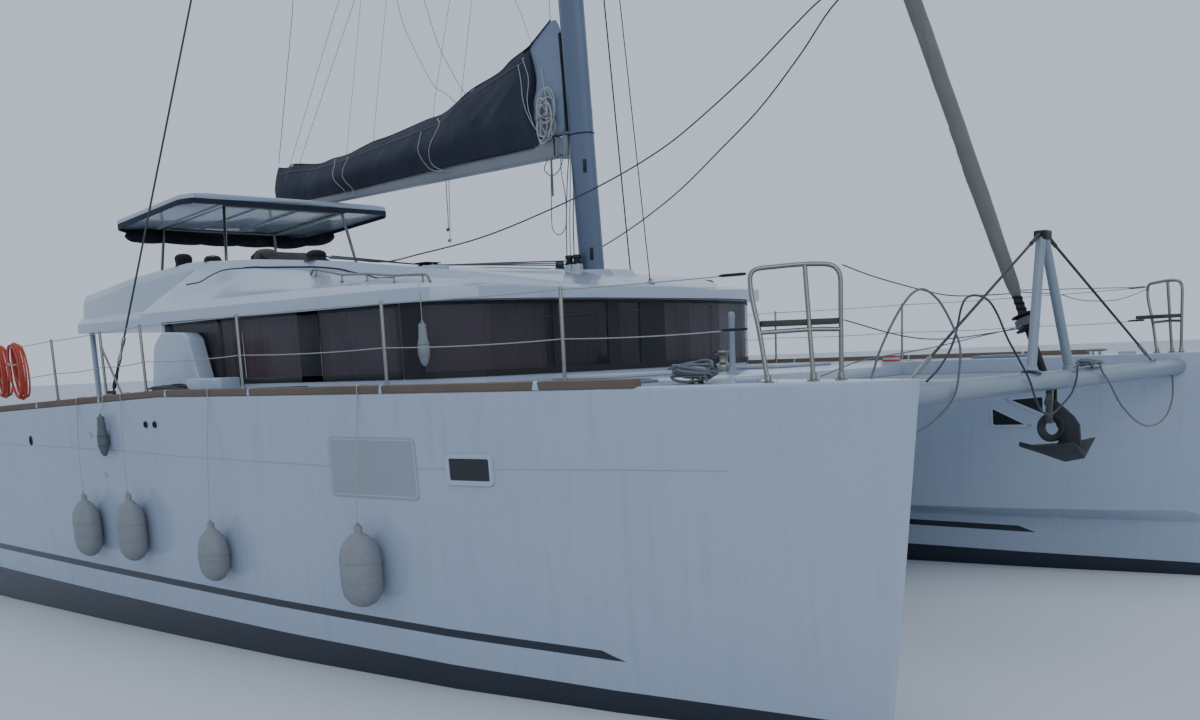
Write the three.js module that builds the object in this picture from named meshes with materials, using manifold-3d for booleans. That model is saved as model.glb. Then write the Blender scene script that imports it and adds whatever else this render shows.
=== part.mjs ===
// Sailing catamaran with two hulls, a glazed saloon, a flybridge and a sloop rig.
// Millimetres. +X to the bow, +Y to port, +Z up. The origin is on the centreline,
// at mid-length, in the plane of the still water.
import * as THREE from "three";
import { mergeVertices } from "three/addons/utils/BufferGeometryUtils.js";
import Module from "manifold-3d";

const wasm = await Module();
wasm.setup();

// Driving dimensions
const LENGTH = 13960;
const BEAM = 7880;
const DRAFT = 1300;
const BOW_X = LENGTH / 2;
const STERN_X = -LENGTH / 2;
const HULL_Y = 3230;
const HULL_HALF = BEAM / 2 - HULL_Y;
const DECK_Z = 2165;
const WING_Z = 750;
const FLOOR_Z = 950;
const ROOF_Z = 2880;
const FLY_FLOOR_Z = 3040;
const MAST_X = 1600;
const MAST_RAKE = 0.047;
const MAST_TOP_Z = 20600;
const HOUNDS_Z = 15300;
const BEAM_X = 6370;
const BEAM_Z = 2030;
const BEAM_R = 75;
const GAP = 0.3;

const group = new THREE.Group();

// Materials
const material = (color, roughness, metalness) =>
  new THREE.MeshStandardMaterial({ color, roughness, metalness });
const gelcoat = () => material(0xe9edf0, 0.3, 0.0);
const nonSkid = () => material(0xd9dde0, 0.8, 0.0);
const darkGlass = () => material(0x1d2226, 0.08, 0.0);
const canvas = () => material(0x2b3242, 0.9, 0.0);
const vinyl = () => material(0xcfc9bc, 0.7, 0.0);
const stainless = () => material(0xb9bdc0, 0.25, 1.0);
const anodised = () => material(0xaab2ba, 0.4, 0.9);
const galvanised = () => material(0x3b424a, 0.6, 0.7);
const wire = () => material(0x6d7276, 0.4, 0.9);
const teak = () => material(0x7d6455, 0.7, 0.0);
const netting = () => material(0xc9ced2, 0.9, 0.0);
const antifouling = () => material(0x2a3350, 0.9, 0.0);

// Closed geometry helpers
function indexed(geometry) {
  const bare = geometry.clone();
  bare.deleteAttribute("normal");
  bare.deleteAttribute("uv");
  return mergeVertices(bare, 1e-4);
}

function solid(geometry) {
  const merged = indexed(geometry);
  return new wasm.Manifold(new wasm.Mesh({
    numProp: 3,
    vertProperties: new Float32Array(merged.attributes.position.array),
    triVerts: new Uint32Array(merged.index.array),
  }));
}

function geometryOf(body) {
  const mesh = body.getMesh();
  const geometry = new THREE.BufferGeometry();
  geometry.setAttribute("position", new THREE.BufferAttribute(new Float32Array(mesh.vertProperties), 3));
  geometry.setIndex(new THREE.BufferAttribute(new Uint32Array(mesh.triVerts), 1));
  return geometry;
}

// The same geometry on the other side of the centreline.
function mirrored(geometry) {
  const copy = indexed(geometry);
  const position = copy.attributes.position;
  for (let i = 0; i < position.count; i += 1) {
    position.setY(i, -position.getY(i));
  }
  turnFaces(copy);
  return copy;
}

// Turns every triangle's other side outward.
function turnFaces(geometry) {
  const order = geometry.index.array;
  for (let i = 0; i < order.length; i += 3) {
    [order[i], order[i + 1]] = [order[i + 1], order[i]];
  }
}

function place(name, geometry, finish, parent = group) {
  const shape = geometry.isBufferGeometry ? geometry : geometryOf(geometry);
  shape.computeVertexNormals();
  const mesh = new THREE.Mesh(shape, finish);
  mesh.name = name;
  parent.add(mesh);
  return mesh;
}

// A piece that both sides have, drawn for the port side.
function placePair(name, geometry, finish) {
  const port = geometry.isBufferGeometry ? geometry : geometryOf(geometry);
  place(name + "_port", port, finish());
  place(name + "_starboard", mirrored(port), finish());
}

function box(x0, x1, y0, y1, z0, z1) {
  const geometry = new THREE.BoxGeometry(x1 - x0, y1 - y0, z1 - z0);
  geometry.translate((x0 + x1) / 2, (y0 + y1) / 2, (z0 + z1) / 2);
  return geometry;
}

const shapeOf = (points) => new THREE.Shape(points.map(([a, b]) => new THREE.Vector2(a, b)));

// An outline in the plan (x, y), from z0 up to z1.
function planPrism(points, z0, z1) {
  const geometry = new THREE.ExtrudeGeometry(shapeOf(points), { depth: z1 - z0, bevelEnabled: false });
  geometry.translate(0, 0, z0);
  return geometry;
}

// An outline seen from the side (x, z), from y0 to y1.
function sidePrism(points, y0, y1) {
  const geometry = new THREE.ExtrudeGeometry(shapeOf(points), { depth: y1 - y0, bevelEnabled: false });
  geometry.rotateX(Math.PI / 2);
  geometry.translate(0, y1, 0);
  return geometry;
}

// An outline seen from astern (y, z), from x0 to x1.
function crossPrism(points, x0, x1) {
  const geometry = new THREE.ExtrudeGeometry(shapeOf(points), { depth: x1 - x0, bevelEnabled: false });
  geometry.rotateX(Math.PI / 2);
  geometry.rotateZ(Math.PI / 2);
  geometry.translate(x0, 0, 0);
  return geometry;
}

// Rings of points with equal counts, joined in order, with flat ends cut into
// triangles in the plane of the two axes named by flat.
function loft(rings, flat = [1, 2]) {
  const count = rings[0].length;
  const positions = rings.flat(2);
  const index = [];
  for (let r = 0; r < rings.length - 1; r += 1) {
    for (let k = 0; k < count; k += 1) {
      const a = r * count + k;
      const b = r * count + ((k + 1) % count);
      index.push(a, b, b + count, a, b + count, a + count);
    }
  }
  const ends = [[0, true], [rings.length - 1, false]];
  for (const [r, turned] of ends) {
    const outline = rings[r].map((p) => new THREE.Vector2(p[flat[0]], p[flat[1]]));
    for (const [a, b, c] of THREE.ShapeUtils.triangulateShape(outline, [])) {
      const base = r * count;
      index.push(...(turned ? [base + a, base + c, base + b] : [base + a, base + b, base + c]));
    }
  }
  const geometry = new THREE.BufferGeometry();
  geometry.setAttribute("position", new THREE.BufferAttribute(new Float32Array(positions), 3));
  geometry.setIndex(index);
  if (solidVolume(geometry) < 0) {
    turnFaces(geometry);
  }
  return geometry;
}

function solidVolume(geometry) {
  const p = geometry.attributes.position;
  const order = geometry.index.array;
  const [a, b, c] = [new THREE.Vector3(), new THREE.Vector3(), new THREE.Vector3()];
  let sum = 0;
  for (let i = 0; i < order.length; i += 3) {
    a.fromBufferAttribute(p, order[i]);
    b.fromBufferAttribute(p, order[i + 1]);
    c.fromBufferAttribute(p, order[i + 2]);
    sum += a.dot(b.cross(c)) / 6;
  }
  return sum;
}

// A round bar through the points, straight between them or curved.
function bar(points, radius, { sides = 8, steps = 1, curved = false } = {}) {
  const vectors = points.map((p) => new THREE.Vector3(...p));
  let path;
  if (curved) {
    path = new THREE.CatmullRomCurve3(vectors, false, "centripetal");
  } else {
    path = new THREE.CurvePath();
    for (let i = 0; i < vectors.length - 1; i += 1) {
      path.add(new THREE.LineCurve3(vectors[i], vectors[i + 1]));
    }
  }
  const ring = [];
  for (let k = 0; k < sides; k += 1) {
    const angle = (2 * Math.PI * k) / sides;
    ring.push([radius * Math.cos(angle), radius * Math.sin(angle)]);
  }
  return new THREE.ExtrudeGeometry(shapeOf(ring), { steps, extrudePath: path, bevelEnabled: false });
}

// Separate straight bars joined into one solid at their ends.
function frameOf(segments, radius, sides = 8) {
  return joined(segments.map(([a, b]) => bar([a, b], radius, { sides })));
}

function joined(pieces) {
  return pieces
    .map((piece) => (piece.isBufferGeometry ? solid(piece) : piece))
    .reduce((sum, next) => sum.add(next));
}

const pathSegments = (points) => points.slice(1).map((point, k) => [points[k], point]);

const moved = (geometry, x, y, z) => {
  const copy = geometry.clone();
  copy.translate(x, y, z);
  return copy;
};

// A vertical round post.
function post(x, y, z0, z1, radius, sides = 12) {
  const geometry = new THREE.CylinderGeometry(radius, radius, z1 - z0, sides);
  geometry.rotateX(Math.PI / 2);
  geometry.translate(x, y, (z0 + z1) / 2);
  return geometry;
}

// Hulls
const SHEER_DROP = 0.04;
const sheerZ = (x) => DECK_Z - SHEER_DROP * Math.max(0, -x);
const CHINE_Z = 590;
const STEM_RAKE = 0.08;

// Columns: station x, half breadths from the hull's own centre plane of the outer
// deck edge, the inner deck edge and the waterline, and the depth of the bottom.
const HULL_STATIONS = [
  [STERN_X, 570, 820, 470, -20],
  [-5600, 650, 890, 600, -220],
  [-3600, 690, 900, 680, -470],
  [-1600, HULL_HALF, 900, 705, -600],
  [0, HULL_HALF, 900, 700, -640],
  [1500, HULL_HALF, 900, 675, -640],
  [3500, 650, 860, 555, -600],
  [5000, 485, 650, 365, -520],
  [6000, 280, 410, 190, -410],
  [6600, 135, 190, 85, -280],
  [BOW_X - 20, 34, 34, 30, -90],
];

function hullSection([x, outer, inner, water, bottom]) {
  const bowward = THREE.MathUtils.smoothstep(x, 3500, BOW_X);
  const top = sheerZ(x);
  // Columns: distance outboard of the hull's centre plane, height.
  const outline = [
    [-inner, top],
    [-inner * 0.98, CHINE_Z + 60],
    [-water, CHINE_Z - 60],
    [-water, 80],
    [-water * 0.82, bottom * 0.5],
    [-water * 0.36, bottom * 0.94],
    [water * 0.36, bottom * 0.94],
    [water * 0.82, bottom * 0.5],
    [water, 80],
    [water + (outer - water) * 0.6, 900],
    [outer, top - 130],
    [outer, top],
  ];
  return outline.map(([out, z]) => [x - bowward * STEM_RAKE * (top - z), HULL_Y + out, z]);
}

const SIDE_STEP_TOP = -4400;
// Columns: aft end, fore end, height of the tread cut into the hull's stern.
const STERN_STEPS = [
  [STERN_X - 50, -6250, 420],
  [-6260, -5950, 700],
  [-5960, -5150, 980],
  [-5160, -4900, 1270],
  [-4910, -4650, 1560],
  [-4660, SIDE_STEP_TOP, 1820],
];
const TOPSIDE_END = [
  [STERN_X - 100, 2400],
  [STERN_X - 100, 470],
  [-6860, 470],
  [-6640, 640],
  [-6330, 1080],
  [-6000, 1530],
  [-5600, 1850],
  [-5200, sheerZ(-5200) + 20],
  [-5200, 2400],
];

const hullLoft = solid(loft(HULL_STATIONS.map(hullSection)));
let hull = hullLoft.subtract(solid(sidePrism(TOPSIDE_END, 1500, 4500)));
const STEP_OUT = HULL_Y + 470;
const STEP_IN = HULL_Y - 690;
for (const [x0, x1, z] of STERN_STEPS) {
  hull = hull.subtract(solid(box(x0, x1, STEP_IN, STEP_OUT, z, 2500)));
}
const LANDING = [-5950, -5150];
hull = hull.subtract(solid(box(LANDING[0], LANDING[1], 2200, STEP_IN + 10, 980, 2500)));
// The engine room under its lid in the side deck
const ENGINE_LID = [-4250, -3450];
const ENGINE_WELL_Y = [HULL_Y - 330, HULL_Y + 250];
hull = hull.subtract(solid(box(ENGINE_LID[0] + 50, ENGINE_LID[1] - 50, ...ENGINE_WELL_Y, 1250, 2500)));
// A flat-bottomed bearing housing under each stern carries the rudder's stock
const BEARING_Z = -215;
hull = joined([hull, post(-6020, HULL_Y, BEARING_Z, 0, 65)]);
placePair("hull", hull, gelcoat);
const hullPort = hull;
const hullStarboard = solid(mirrored(geometryOf(hull)));
// What is left of a piece where it stands on, or against, the hulls.
const clearOfHulls = (body) => body
  .subtract(hullPort)
  .subtract(hullPort.translate([0, -GAP, 0]))
  .subtract(hullPort.translate([0, 0, GAP]))
  .subtract(hullStarboard)
  .subtract(hullStarboard.translate([0, GAP, 0]))
  .subtract(hullStarboard.translate([0, 0, GAP]));

// Stub keels, cut to the hull's bottom
const KEEL_STATIONS = [
  // Columns: height, aft end, fore end, half thickness.
  [-DRAFT, -1500, 900, 55],
  [-1150, -1620, 1080, 120],
  [-300, -1900, 1500, 150],
];
const foil = (z, x0, x1, half, y = HULL_Y) => {
  const chord = x1 - x0;
  // Columns: share of the chord from the fore end, share of the half thickness.
  const side = [[0, 0.12], [0.06, 0.6], [0.25, 1], [0.6, 0.85], [0.93, 0.25], [1, 0.06]];
  const port = side.map(([s, t]) => [x1 - s * chord, y + t * half, z]);
  const starboard = [...side].reverse().map(([s, t]) => [x1 - s * chord, y - t * half, z]);
  return [...port, ...starboard];
};
const keel = solid(loft(KEEL_STATIONS.map(([z, x0, x1, half]) => foil(z, x0, x1, half)), [0, 1]))
  .subtract(hullPort.translate([0, 0, -GAP]));
placePair("keel", keel, antifouling);

// Bridge deck: wing deck, saloon sole, foredeck and after beam in one moulding
const WING_AFT = -5900;
const WING_FORE = 3750;
const SALOON_FORE = 1450;
const BENCH_Z = 1350;
const BENCH_X = -5420;
const WING_PROFILE = [
  [WING_AFT, WING_Z + 120],
  [WING_AFT + 250, WING_Z],
  [3100, WING_Z],
  [WING_FORE - 60, 1250],
  [WING_FORE, 1900],
  [WING_FORE, DECK_Z - 40],
  [3500, DECK_Z],
  [SALOON_FORE, DECK_Z],
  [SALOON_FORE, FLOOR_Z],
  [BENCH_X, FLOOR_Z],
  [BENCH_X, BENCH_Z],
  [WING_AFT, BENCH_Z],
];
const LANDING_Y = 2345;
let bridgeDeck = solid(sidePrism(WING_PROFILE, -2600, 2600));
for (const side of [-1, 1]) {
  const [y0, y1] = side < 0 ? [-2700, -LANDING_Y] : [LANDING_Y, 2700];
  bridgeDeck = bridgeDeck.subtract(solid(box(-6100, -4300, y0, y1, 0, 3000)));
}
// Lockers under the two lids of the foredeck
const LOCKER_LID = { x: [2620, 3330], y: [700, 1700] };
for (const side of [-1, 1]) {
  const [y0, y1] = LOCKER_LID.y.map((y) => side * y).sort((a, b) => a - b);
  const well = box(LOCKER_LID.x[0] + 50, LOCKER_LID.x[1] - 50, y0 + 50, y1 - 50, 1450, 2500);
  bridgeDeck = bridgeDeck.subtract(solid(well));
}
bridgeDeck = clearOfHulls(bridgeDeck);
place("bridge_deck", bridgeDeck, gelcoat());

// Saloon walls: an upright band round the saloon, standing on the decks
const BULKHEAD_X = -2450;
const WALL = 60;
const WALL_FRONT = [
  // Columns: x, half breadth of the outside of the wall.
  [BULKHEAD_X, 2420],
  [1500, 2420],
  [1820, 2330],
  [2060, 1950],
  [2230, 1250],
  [2310, 450],
];
const ring = (points) => [...points, ...[...points].reverse().map(([x, y]) => [x, -y])];
// The outline between two points of the ring, as a unit vector to its inner side.
function inward([x0, y0], [x1, y1]) {
  const length = Math.hypot(x1 - x0, y1 - y0);
  return [(y1 - y0) / length, (x0 - x1) / length];
}
// The ring with every side moved inward by the distance.
function inset(points, distance) {
  const count = points.length;
  return points.map((point, k) => {
    const [ax, ay] = inward(points[(k + count - 1) % count], point);
    const [bx, by] = inward(point, points[(k + 1) % count]);
    const share = distance / (1 + ax * bx + ay * by);
    return [point[0] + (ax + bx) * share, point[1] + (ay + by) * share];
  });
}
const openEnded = [[BULKHEAD_X - 200, WALL_FRONT[0][1]], ...WALL_FRONT.slice(1)];
const WINDOW_Z = [2235, 2850];
let walls = solid(planPrism(ring(WALL_FRONT), 1950, ROOF_Z - GAP))
  .subtract(solid(planPrism(inset(ring(openEnded), WALL), 1900, 3000)));
walls = clearOfHulls(walls).subtract(bridgeDeck.translate([0, 0, GAP]));
// Columns: aft end, fore end of the openings in the side walls.
const SIDE_WINDOWS = [[-2300, -1150], [-1070, 150], [230, 1440]];
for (const [x0, x1] of SIDE_WINDOWS) {
  walls = walls.subtract(solid(box(x0, x1, -3000, 3000, ...WINDOW_Z)));
}
// Columns: lowest and highest y of the openings in the front wall.
const FRONT_WINDOWS = [[-1880, -680], [-600, 600], [680, 1880]];
for (const [y0, y1] of FRONT_WINDOWS) {
  walls = walls.subtract(solid(box(1700, 2500, y0, y1, ...WINDOW_Z)));
}
place("saloon_walls", walls, gelcoat());

// Glass: one pane along each side and a band round the front
const PANE = 8;
const PANE_Z = [2215, ROOF_Z - 8];
const SIDE_GLASS_X = [-2380, 1490];
const WALL_Y = WALL_FRONT[0][1];
placePair("side_glass", box(...SIDE_GLASS_X, WALL_Y + GAP, WALL_Y + GAP + PANE, ...PANE_Z), darkGlass);
const frontGlass = solid(planPrism(inset(ring(openEnded), -GAP - PANE), ...PANE_Z))
  .subtract(solid(planPrism(inset(ring(openEnded), -GAP), 2000, 3000)))
  .subtract(solid(box(BULKHEAD_X - 300, SIDE_GLASS_X[1] + GAP, -3000, 3000, 2000, 3000)));
place("front_glass", frontGlass, darkGlass());

// After bulkhead with its doorway, side lights and the rail of the sliding door
const DOORWAY = [-300, 900];
const DOOR_TOP_Z = 2780;
const BULKHEAD_T = 60;
const DOOR_X = BULKHEAD_X - BULKHEAD_T - 40;
const DOOR_T = 30;
const bulkheadSlab = box(BULKHEAD_X - BULKHEAD_T, BULKHEAD_X - GAP, -2420, 2420, FLOOR_Z + GAP, ROOF_Z - GAP);
let bulkhead = clearOfHulls(solid(bulkheadSlab));
// Columns: lowest y, highest y, bottom of each opening.
const BULKHEAD_OPENINGS = [
  [DOORWAY[0], DOORWAY[1], FLOOR_Z - 50],
  [-1900, DOORWAY[0] - 90, 1750],
  [DOORWAY[1] + 90, 1900, 1750],
];
for (const [y0, y1, z] of BULKHEAD_OPENINGS) {
  bulkhead = bulkhead.subtract(solid(box(-3000, -2000, y0, y1, z, DOOR_TOP_Z)));
}
const doorRail = box(DOOR_X - 6, BULKHEAD_X - BULKHEAD_T + 5, -1600, DOORWAY[1] + 60,
  DOOR_TOP_Z + 31, DOOR_TOP_Z + 75);
place("after_bulkhead", bulkhead.add(solid(doorRail)), gelcoat());
place("sliding_door", box(DOOR_X, DOOR_X + DOOR_T, DOORWAY[0] - 40, DOORWAY[1] + 40,
  FLOOR_Z + GAP, DOOR_TOP_Z + 31 - GAP), darkGlass());

// Roof and flybridge: one moulding from the eaves up to the coaming
const COAMING_W = 170;
// Columns: station x, half breadth of the eaves, half breadth of the coaming's
// top, height of the coaming's top, height of the middle.
const ROOF_STATIONS = [
  [2440, 900, 700, 2985, 2990],
  [2370, 1400, 1000, 3000, 3020],
  [2170, 2080, 1300, 3050, 3085],
  [1920, 2410, 1450, 3100, 3140],
  [1560, 2520, 1600, 3160, 3200],
  [600, 2520, 1640, 3270, 3260],
  [-450, 2520, 1690, 3400, 3380],
  [-600, 2520, 1700, 3415, FLY_FLOOR_Z],
  [-1600, 2520, 1750, 3500, FLY_FLOOR_Z],
  [-2750, 2520, 1760, 3560, FLY_FLOOR_Z],
  [-2860, 2380, 1760, 3560, FLY_FLOOR_Z],
  [-2990, 1930, 1760, 3560, FLY_FLOOR_Z],
  [-4300, 1900, 1740, 3480, FLY_FLOOR_Z],
  [-5600, 1840, 1690, 3340, FLY_FLOOR_Z],
];
function roofSection([x, eave, coaming, top, middle]) {
  const lip = Math.min(110, (top - ROOF_Z) * 0.8);
  const shoulder = ROOF_Z + lip + Math.min(90, (top - ROOF_Z - lip) * 0.3);
  const half = [
    [eave, ROOF_Z],
    [eave, ROOF_Z + lip],
    [Math.max(eave - 130, coaming + 60), shoulder],
    [coaming + 40, top - Math.min(90, (top - ROOF_Z) * 0.25)],
    [coaming, top],
    [coaming - COAMING_W, top],
    [coaming - COAMING_W - 50, Math.min(middle, top)],
    [300, middle],
  ];
  const starboard = [...half].reverse().map(([y, z]) => [-y, z]);
  return [...half, ...starboard].map(([y, z]) => [x, y, z]);
}
const roofLoft = solid(loft(ROOF_STATIONS.map(roofSection)));
const ROOF_POST = { x: -5620, y: 1650, radius: 35 };
const AFT_COAMING = [-5600, -5480];
const aftCoaming = box(...AFT_COAMING, -1680, 1680, FLY_FLOOR_Z - 20, 3335);
// The mast stands on this wedge, which is level where the roof falls away forward
const PEDESTAL = [[1330, 3080], [2110, 2990], [2110, 3040], [1985, 3180], [1330, 3216]];
let roof = joined([roofLoft, aftCoaming, sidePrism(PEDESTAL, -170, 170)]);
for (const side of [-1, 1]) {
  const beam = box(-5700, -5560, side * ROOF_POST.y - 60, side * ROOF_POST.y + 60, ROOF_Z, ROOF_Z + 120);
  const leg = post(ROOF_POST.x, side * ROOF_POST.y, BENCH_Z + GAP, ROOF_Z + 50, ROOF_POST.radius);
  roof = joined([roof, beam, leg]);
}
place("roof_moulding", roof, gelcoat());

// Wings beside the cockpit's entrance, standing on the side decks
const WING_PANEL = [
  [-2440, 2030],
  [-1460, 2100],
  [-1505, 2280],
  [-1640, 2690],
  [-1730, 2752],
  [-2150, 2775],
  [-2330, 2640],
  [-2420, 2300],
];
placePair("cockpit_wing", solid(sidePrism(WING_PANEL, 2445, 2640))
  .subtract(hull.translate([0, 0, GAP])), gelcoat);

// Fore crossbeam, walkway and trampolines
const beamTube = new THREE.CylinderGeometry(BEAM_R, BEAM_R, 6500, 20);
const crossbeam = clearOfHulls(solid(moved(beamTube, BEAM_X, 0, BEAM_Z)));
place("crossbeam", crossbeam, anodised());

const WALKWAY_HALF = 210;
const WALKWAY_Z = [1960, 2050];
const WALKWAY_FORE = BEAM_X - BEAM_R - GAP;
place("walkway", box(WING_FORE + GAP, WALKWAY_FORE, -WALKWAY_HALF, WALKWAY_HALF, ...WALKWAY_Z), anodised());
const NET_Z = [2015, 2030];
const netOutline = [
  [WING_FORE + GAP, WALKWAY_HALF + GAP],
  [WALKWAY_FORE, WALKWAY_HALF + GAP],
  [WALKWAY_FORE, 3300],
  [WING_FORE + GAP, 3300],
];
const net = solid(planPrism(netOutline, ...NET_Z)).subtract(hull.translate([0, -GAP, 0]));
placePair("trampoline", net, netting);

// Striker: two legs on the crossbeam, a cap and two stays to the beam's ends
const STRIKER_TOP = [6284, 3165];
const STRIKER_FOOT_Y = 365;
const STRIKER_STAY_Y = 2315;
const STRIKER_LEG_R = 38;
const BEAM_TOP = BEAM_Z + BEAM_R;
const [capX, capZ] = STRIKER_TOP;
const strikerParts = [box(capX - 50, capX + 50, -65, 65, capZ - 70, capZ)];
for (const side of [-1, 1]) {
  const foot = [BEAM_X, side * STRIKER_FOOT_Y, BEAM_Z + BEAM_R * 0.8];
  strikerParts.push(bar([foot, [capX, side * 32, capZ - 60]], STRIKER_LEG_R, { sides: 12 }));
  const stayEnd = [BEAM_X, side * STRIKER_STAY_Y, BEAM_Z + BEAM_R - 20];
  strikerParts.push(bar([stayEnd, [capX, side * 50, capZ - 25]], 14, { sides: 8 }));
}
// The room the crossbeam needs in the pieces that stand on it or hang from it.
const beamGrowth = 1 + GAP / BEAM_R;
const beamRoom = solid(moved(beamTube.clone().scale(beamGrowth, 1, beamGrowth), BEAM_X, 0, BEAM_Z));
place("striker_frame", joined(strikerParts).subtract(beamRoom), anodised());

// Anchor under the crossbeam, hanging over its roller
const ROLLER = { x: 6395, z: 1640, radius: 52 };
const cheek = [
  [6310, 1935],
  [6310, 1860],
  [6345, 1600],
  [6395, 1575],
  [6450, 1610],
  [6435, 1860],
  [6435, 1935],
];
const rollerWheel = (radius) =>
  moved(new THREE.CylinderGeometry(radius, radius, 60, 20), ROLLER.x, 0, ROLLER.z);
const rollerPin = new THREE.CylinderGeometry(14, 14, 96, 12);
place("anchor_roller", joined([
  sidePrism(cheek, -48, -38),
  sidePrism(cheek, 38, 48),
  box(6310, 6435, -48, 48, 1935, 1975),
  moved(rollerPin, ROLLER.x, 0, ROLLER.z),
  rollerWheel(ROLLER.radius),
]).subtract(beamRoom), stainless());

// Columns: x, z.
const SHANK = [
  [6345, 1925],
  [6325, 1850],
  [6395, 1770],
  [6440, 1660],
  [6450, 1580],
  [6430, 1440],
  [6600, 1440],
  [6622, 1540],
  [6608, 1690],
  [6558, 1758],
  [6410, 1880],
];
const FLUKE_RINGS = [
  // Columns: x, half width, height of the wing tips, height of the keel.
  [6125, 10, 1522, 1512],
  [6300, 95, 1530, 1462],
  [6500, 185, 1545, 1400],
  [6655, 215, 1580, 1432],
];
const fluke = loft(FLUKE_RINGS.map(([x, half, tip, low]) => [
  [x, 0, low],
  [x, half, tip],
  [x, 0, low + 40],
  [x, -half, tip],
]));
place("anchor", joined([sidePrism(SHANK, -14, 14), fluke])
  .subtract(solid(rollerWheel(ROLLER.radius + GAP))), galvanised());

// Mast with its spreaders, step and gooseneck lugs
const mastX = (z) => MAST_X - MAST_RAKE * (z - 3200);
const MAST_HALF = [146, 90];
function mastRing(z, scale) {
  const ringPoints = [];
  for (let k = 0; k < 12; k += 1) {
    const angle = (2 * Math.PI * k) / 12;
    ringPoints.push([
      mastX(z) + MAST_HALF[0] * scale * Math.cos(angle),
      MAST_HALF[1] * scale * Math.sin(angle),
      z,
    ]);
  }
  return ringPoints;
}
const PIVOT = { x: 1330, z0: 4330, z1: 4530 };
const SPREADER_Z = 9800;
const SPREADER_TIP = [54, 1774];
const mastParts = [
  loft([mastRing(3150, 1), mastRing(HOUNDS_Z, 1), mastRing(MAST_TOP_Z, 0.8)], [0, 1]),
  box(PIVOT.x - 50, mastX(4550) - 60, -50, 50, PIVOT.z1 + GAP, PIVOT.z1 + 22),
  box(PIVOT.x - 50, mastX(4310) - 60, -50, 50, PIVOT.z0 - 22, PIVOT.z0 - GAP),
];
for (const side of [-1, 1]) {
  const root = [mastX(SPREADER_Z) - 20, side * 40, SPREADER_Z];
  const tip = [SPREADER_TIP[0], side * (SPREADER_TIP[1] - 12), SPREADER_Z + 120];
  mastParts.push(bar([root, tip], 34, { sides: 8 }));
}
const mast = joined(mastParts).subtract(roof.translate([0, 0, GAP]));
place("mast", mast, anodised());

// Standing rigging: genoa rolled on its stay, and the cap shrouds
const TACK = [BEAM_X - 64, 0, BEAM_TOP + 6];
const STAY_TOP = [mastX(HOUNDS_Z) + MAST_HALF[0] + 30, 0, HOUNDS_Z - 50];
const alongStay = (z) => {
  const t = (z - TACK[2]) / (STAY_TOP[2] - TACK[2]);
  return [TACK[0] + t * (STAY_TOP[0] - TACK[0]), 0, z];
};
const stayTilt = Math.atan2(TACK[0] - STAY_TOP[0], STAY_TOP[2] - TACK[2]);
function stayLathe(profile) {
  const geometry = new THREE.LatheGeometry(profile.map(([r, z]) => new THREE.Vector2(r, z)), 12);
  geometry.rotateX(Math.PI / 2);
  geometry.rotateY(-stayTilt);
  geometry.translate(...TACK);
  return geometry;
}
const stayLength = Math.hypot(STAY_TOP[0] - TACK[0], STAY_TOP[2] - TACK[2]);
// Columns: radius, distance up the stay.
const DRUM_PROFILE = [
  [0, -40],
  [30, -40],
  [30, 330],
  [95, 340],
  [95, 350],
  [60, 362],
  [60, 440],
  [95, 452],
  [95, 462],
  [35, 475],
  [35, 600],
  [0, 600],
];
const ROLL_PROFILE = [
  [0, 600 + GAP],
  [30, 600 + GAP],
  [52, 700],
  [66, 1500],
  [70, 4000],
  [58, 9000],
  [36, stayLength - 1500],
  [12, stayLength - 1300],
  [12, stayLength],
  [0, stayLength],
];
place("furler_drum", solid(stayLathe(DRUM_PROFILE)).subtract(beamRoom), galvanised());
place("genoa_roll", solid(stayLathe(ROLL_PROFILE)).subtract(mast), canvas());

const CHAINPLATE = [-1060, 3800];
const SHROUD_Z = 16340;
const SHROUD_TOP = [mastX(SHROUD_Z), MAST_HALF[1] - 10, SHROUD_Z];
const shroudBend = (z) => [...SPREADER_TIP, z];
const plateZ = sheerZ(CHAINPLATE[0]);
const chainplate = box(-60, 60, -10, 10, -40, 90).translate(...CHAINPLATE, plateZ);
const shroud = joined([
  bar([SHROUD_TOP, shroudBend(SPREADER_Z + 120)], 9, { sides: 6 }),
  bar([shroudBend(SPREADER_Z + 130), [...CHAINPLATE, plateZ + 40]], 9, { sides: 6 }),
  chainplate,
]).subtract(hull.translate([0, 0, GAP])).subtract(mast);
placePair("cap_shroud", shroud, wire);

// Boom and its sail bag, swung a little to port
const BOOM_SWING = THREE.MathUtils.degToRad(-8.5);
const BOOM_RISE = 0.02;
const BOOM_R = [90, 6400];
const boomBottom = (r) => PIVOT.z0 + BOOM_RISE * r;
const BOOM_DEPTH = 190;
const boomTop = (r) => boomBottom(r) + BOOM_DEPTH;
const boomProfile = BOOM_R.flatMap((r, k) => {
  const ends = [[PIVOT.x - r, boomBottom(r)], [PIVOT.x - r, boomTop(r)]];
  return k === 0 ? ends : ends.reverse();
});
const swung = (geometry) => {
  const copy = geometry.clone();
  copy.translate(-PIVOT.x, 0, 0);
  copy.rotateZ(BOOM_SWING);
  copy.translate(PIVOT.x, 0, 0);
  return copy;
};
const boomBody = joined([
  sidePrism([...boomProfile].reverse(), -62, 62),
  post(PIVOT.x, 0, PIVOT.z0, PIVOT.z1, 42),
  box(PIVOT.x - 120, PIVOT.x, -30, 30, PIVOT.z0 + 20, PIVOT.z1 - 20),
]);
place("boom", swung(geometryOf(boomBody)), anodised());
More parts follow.
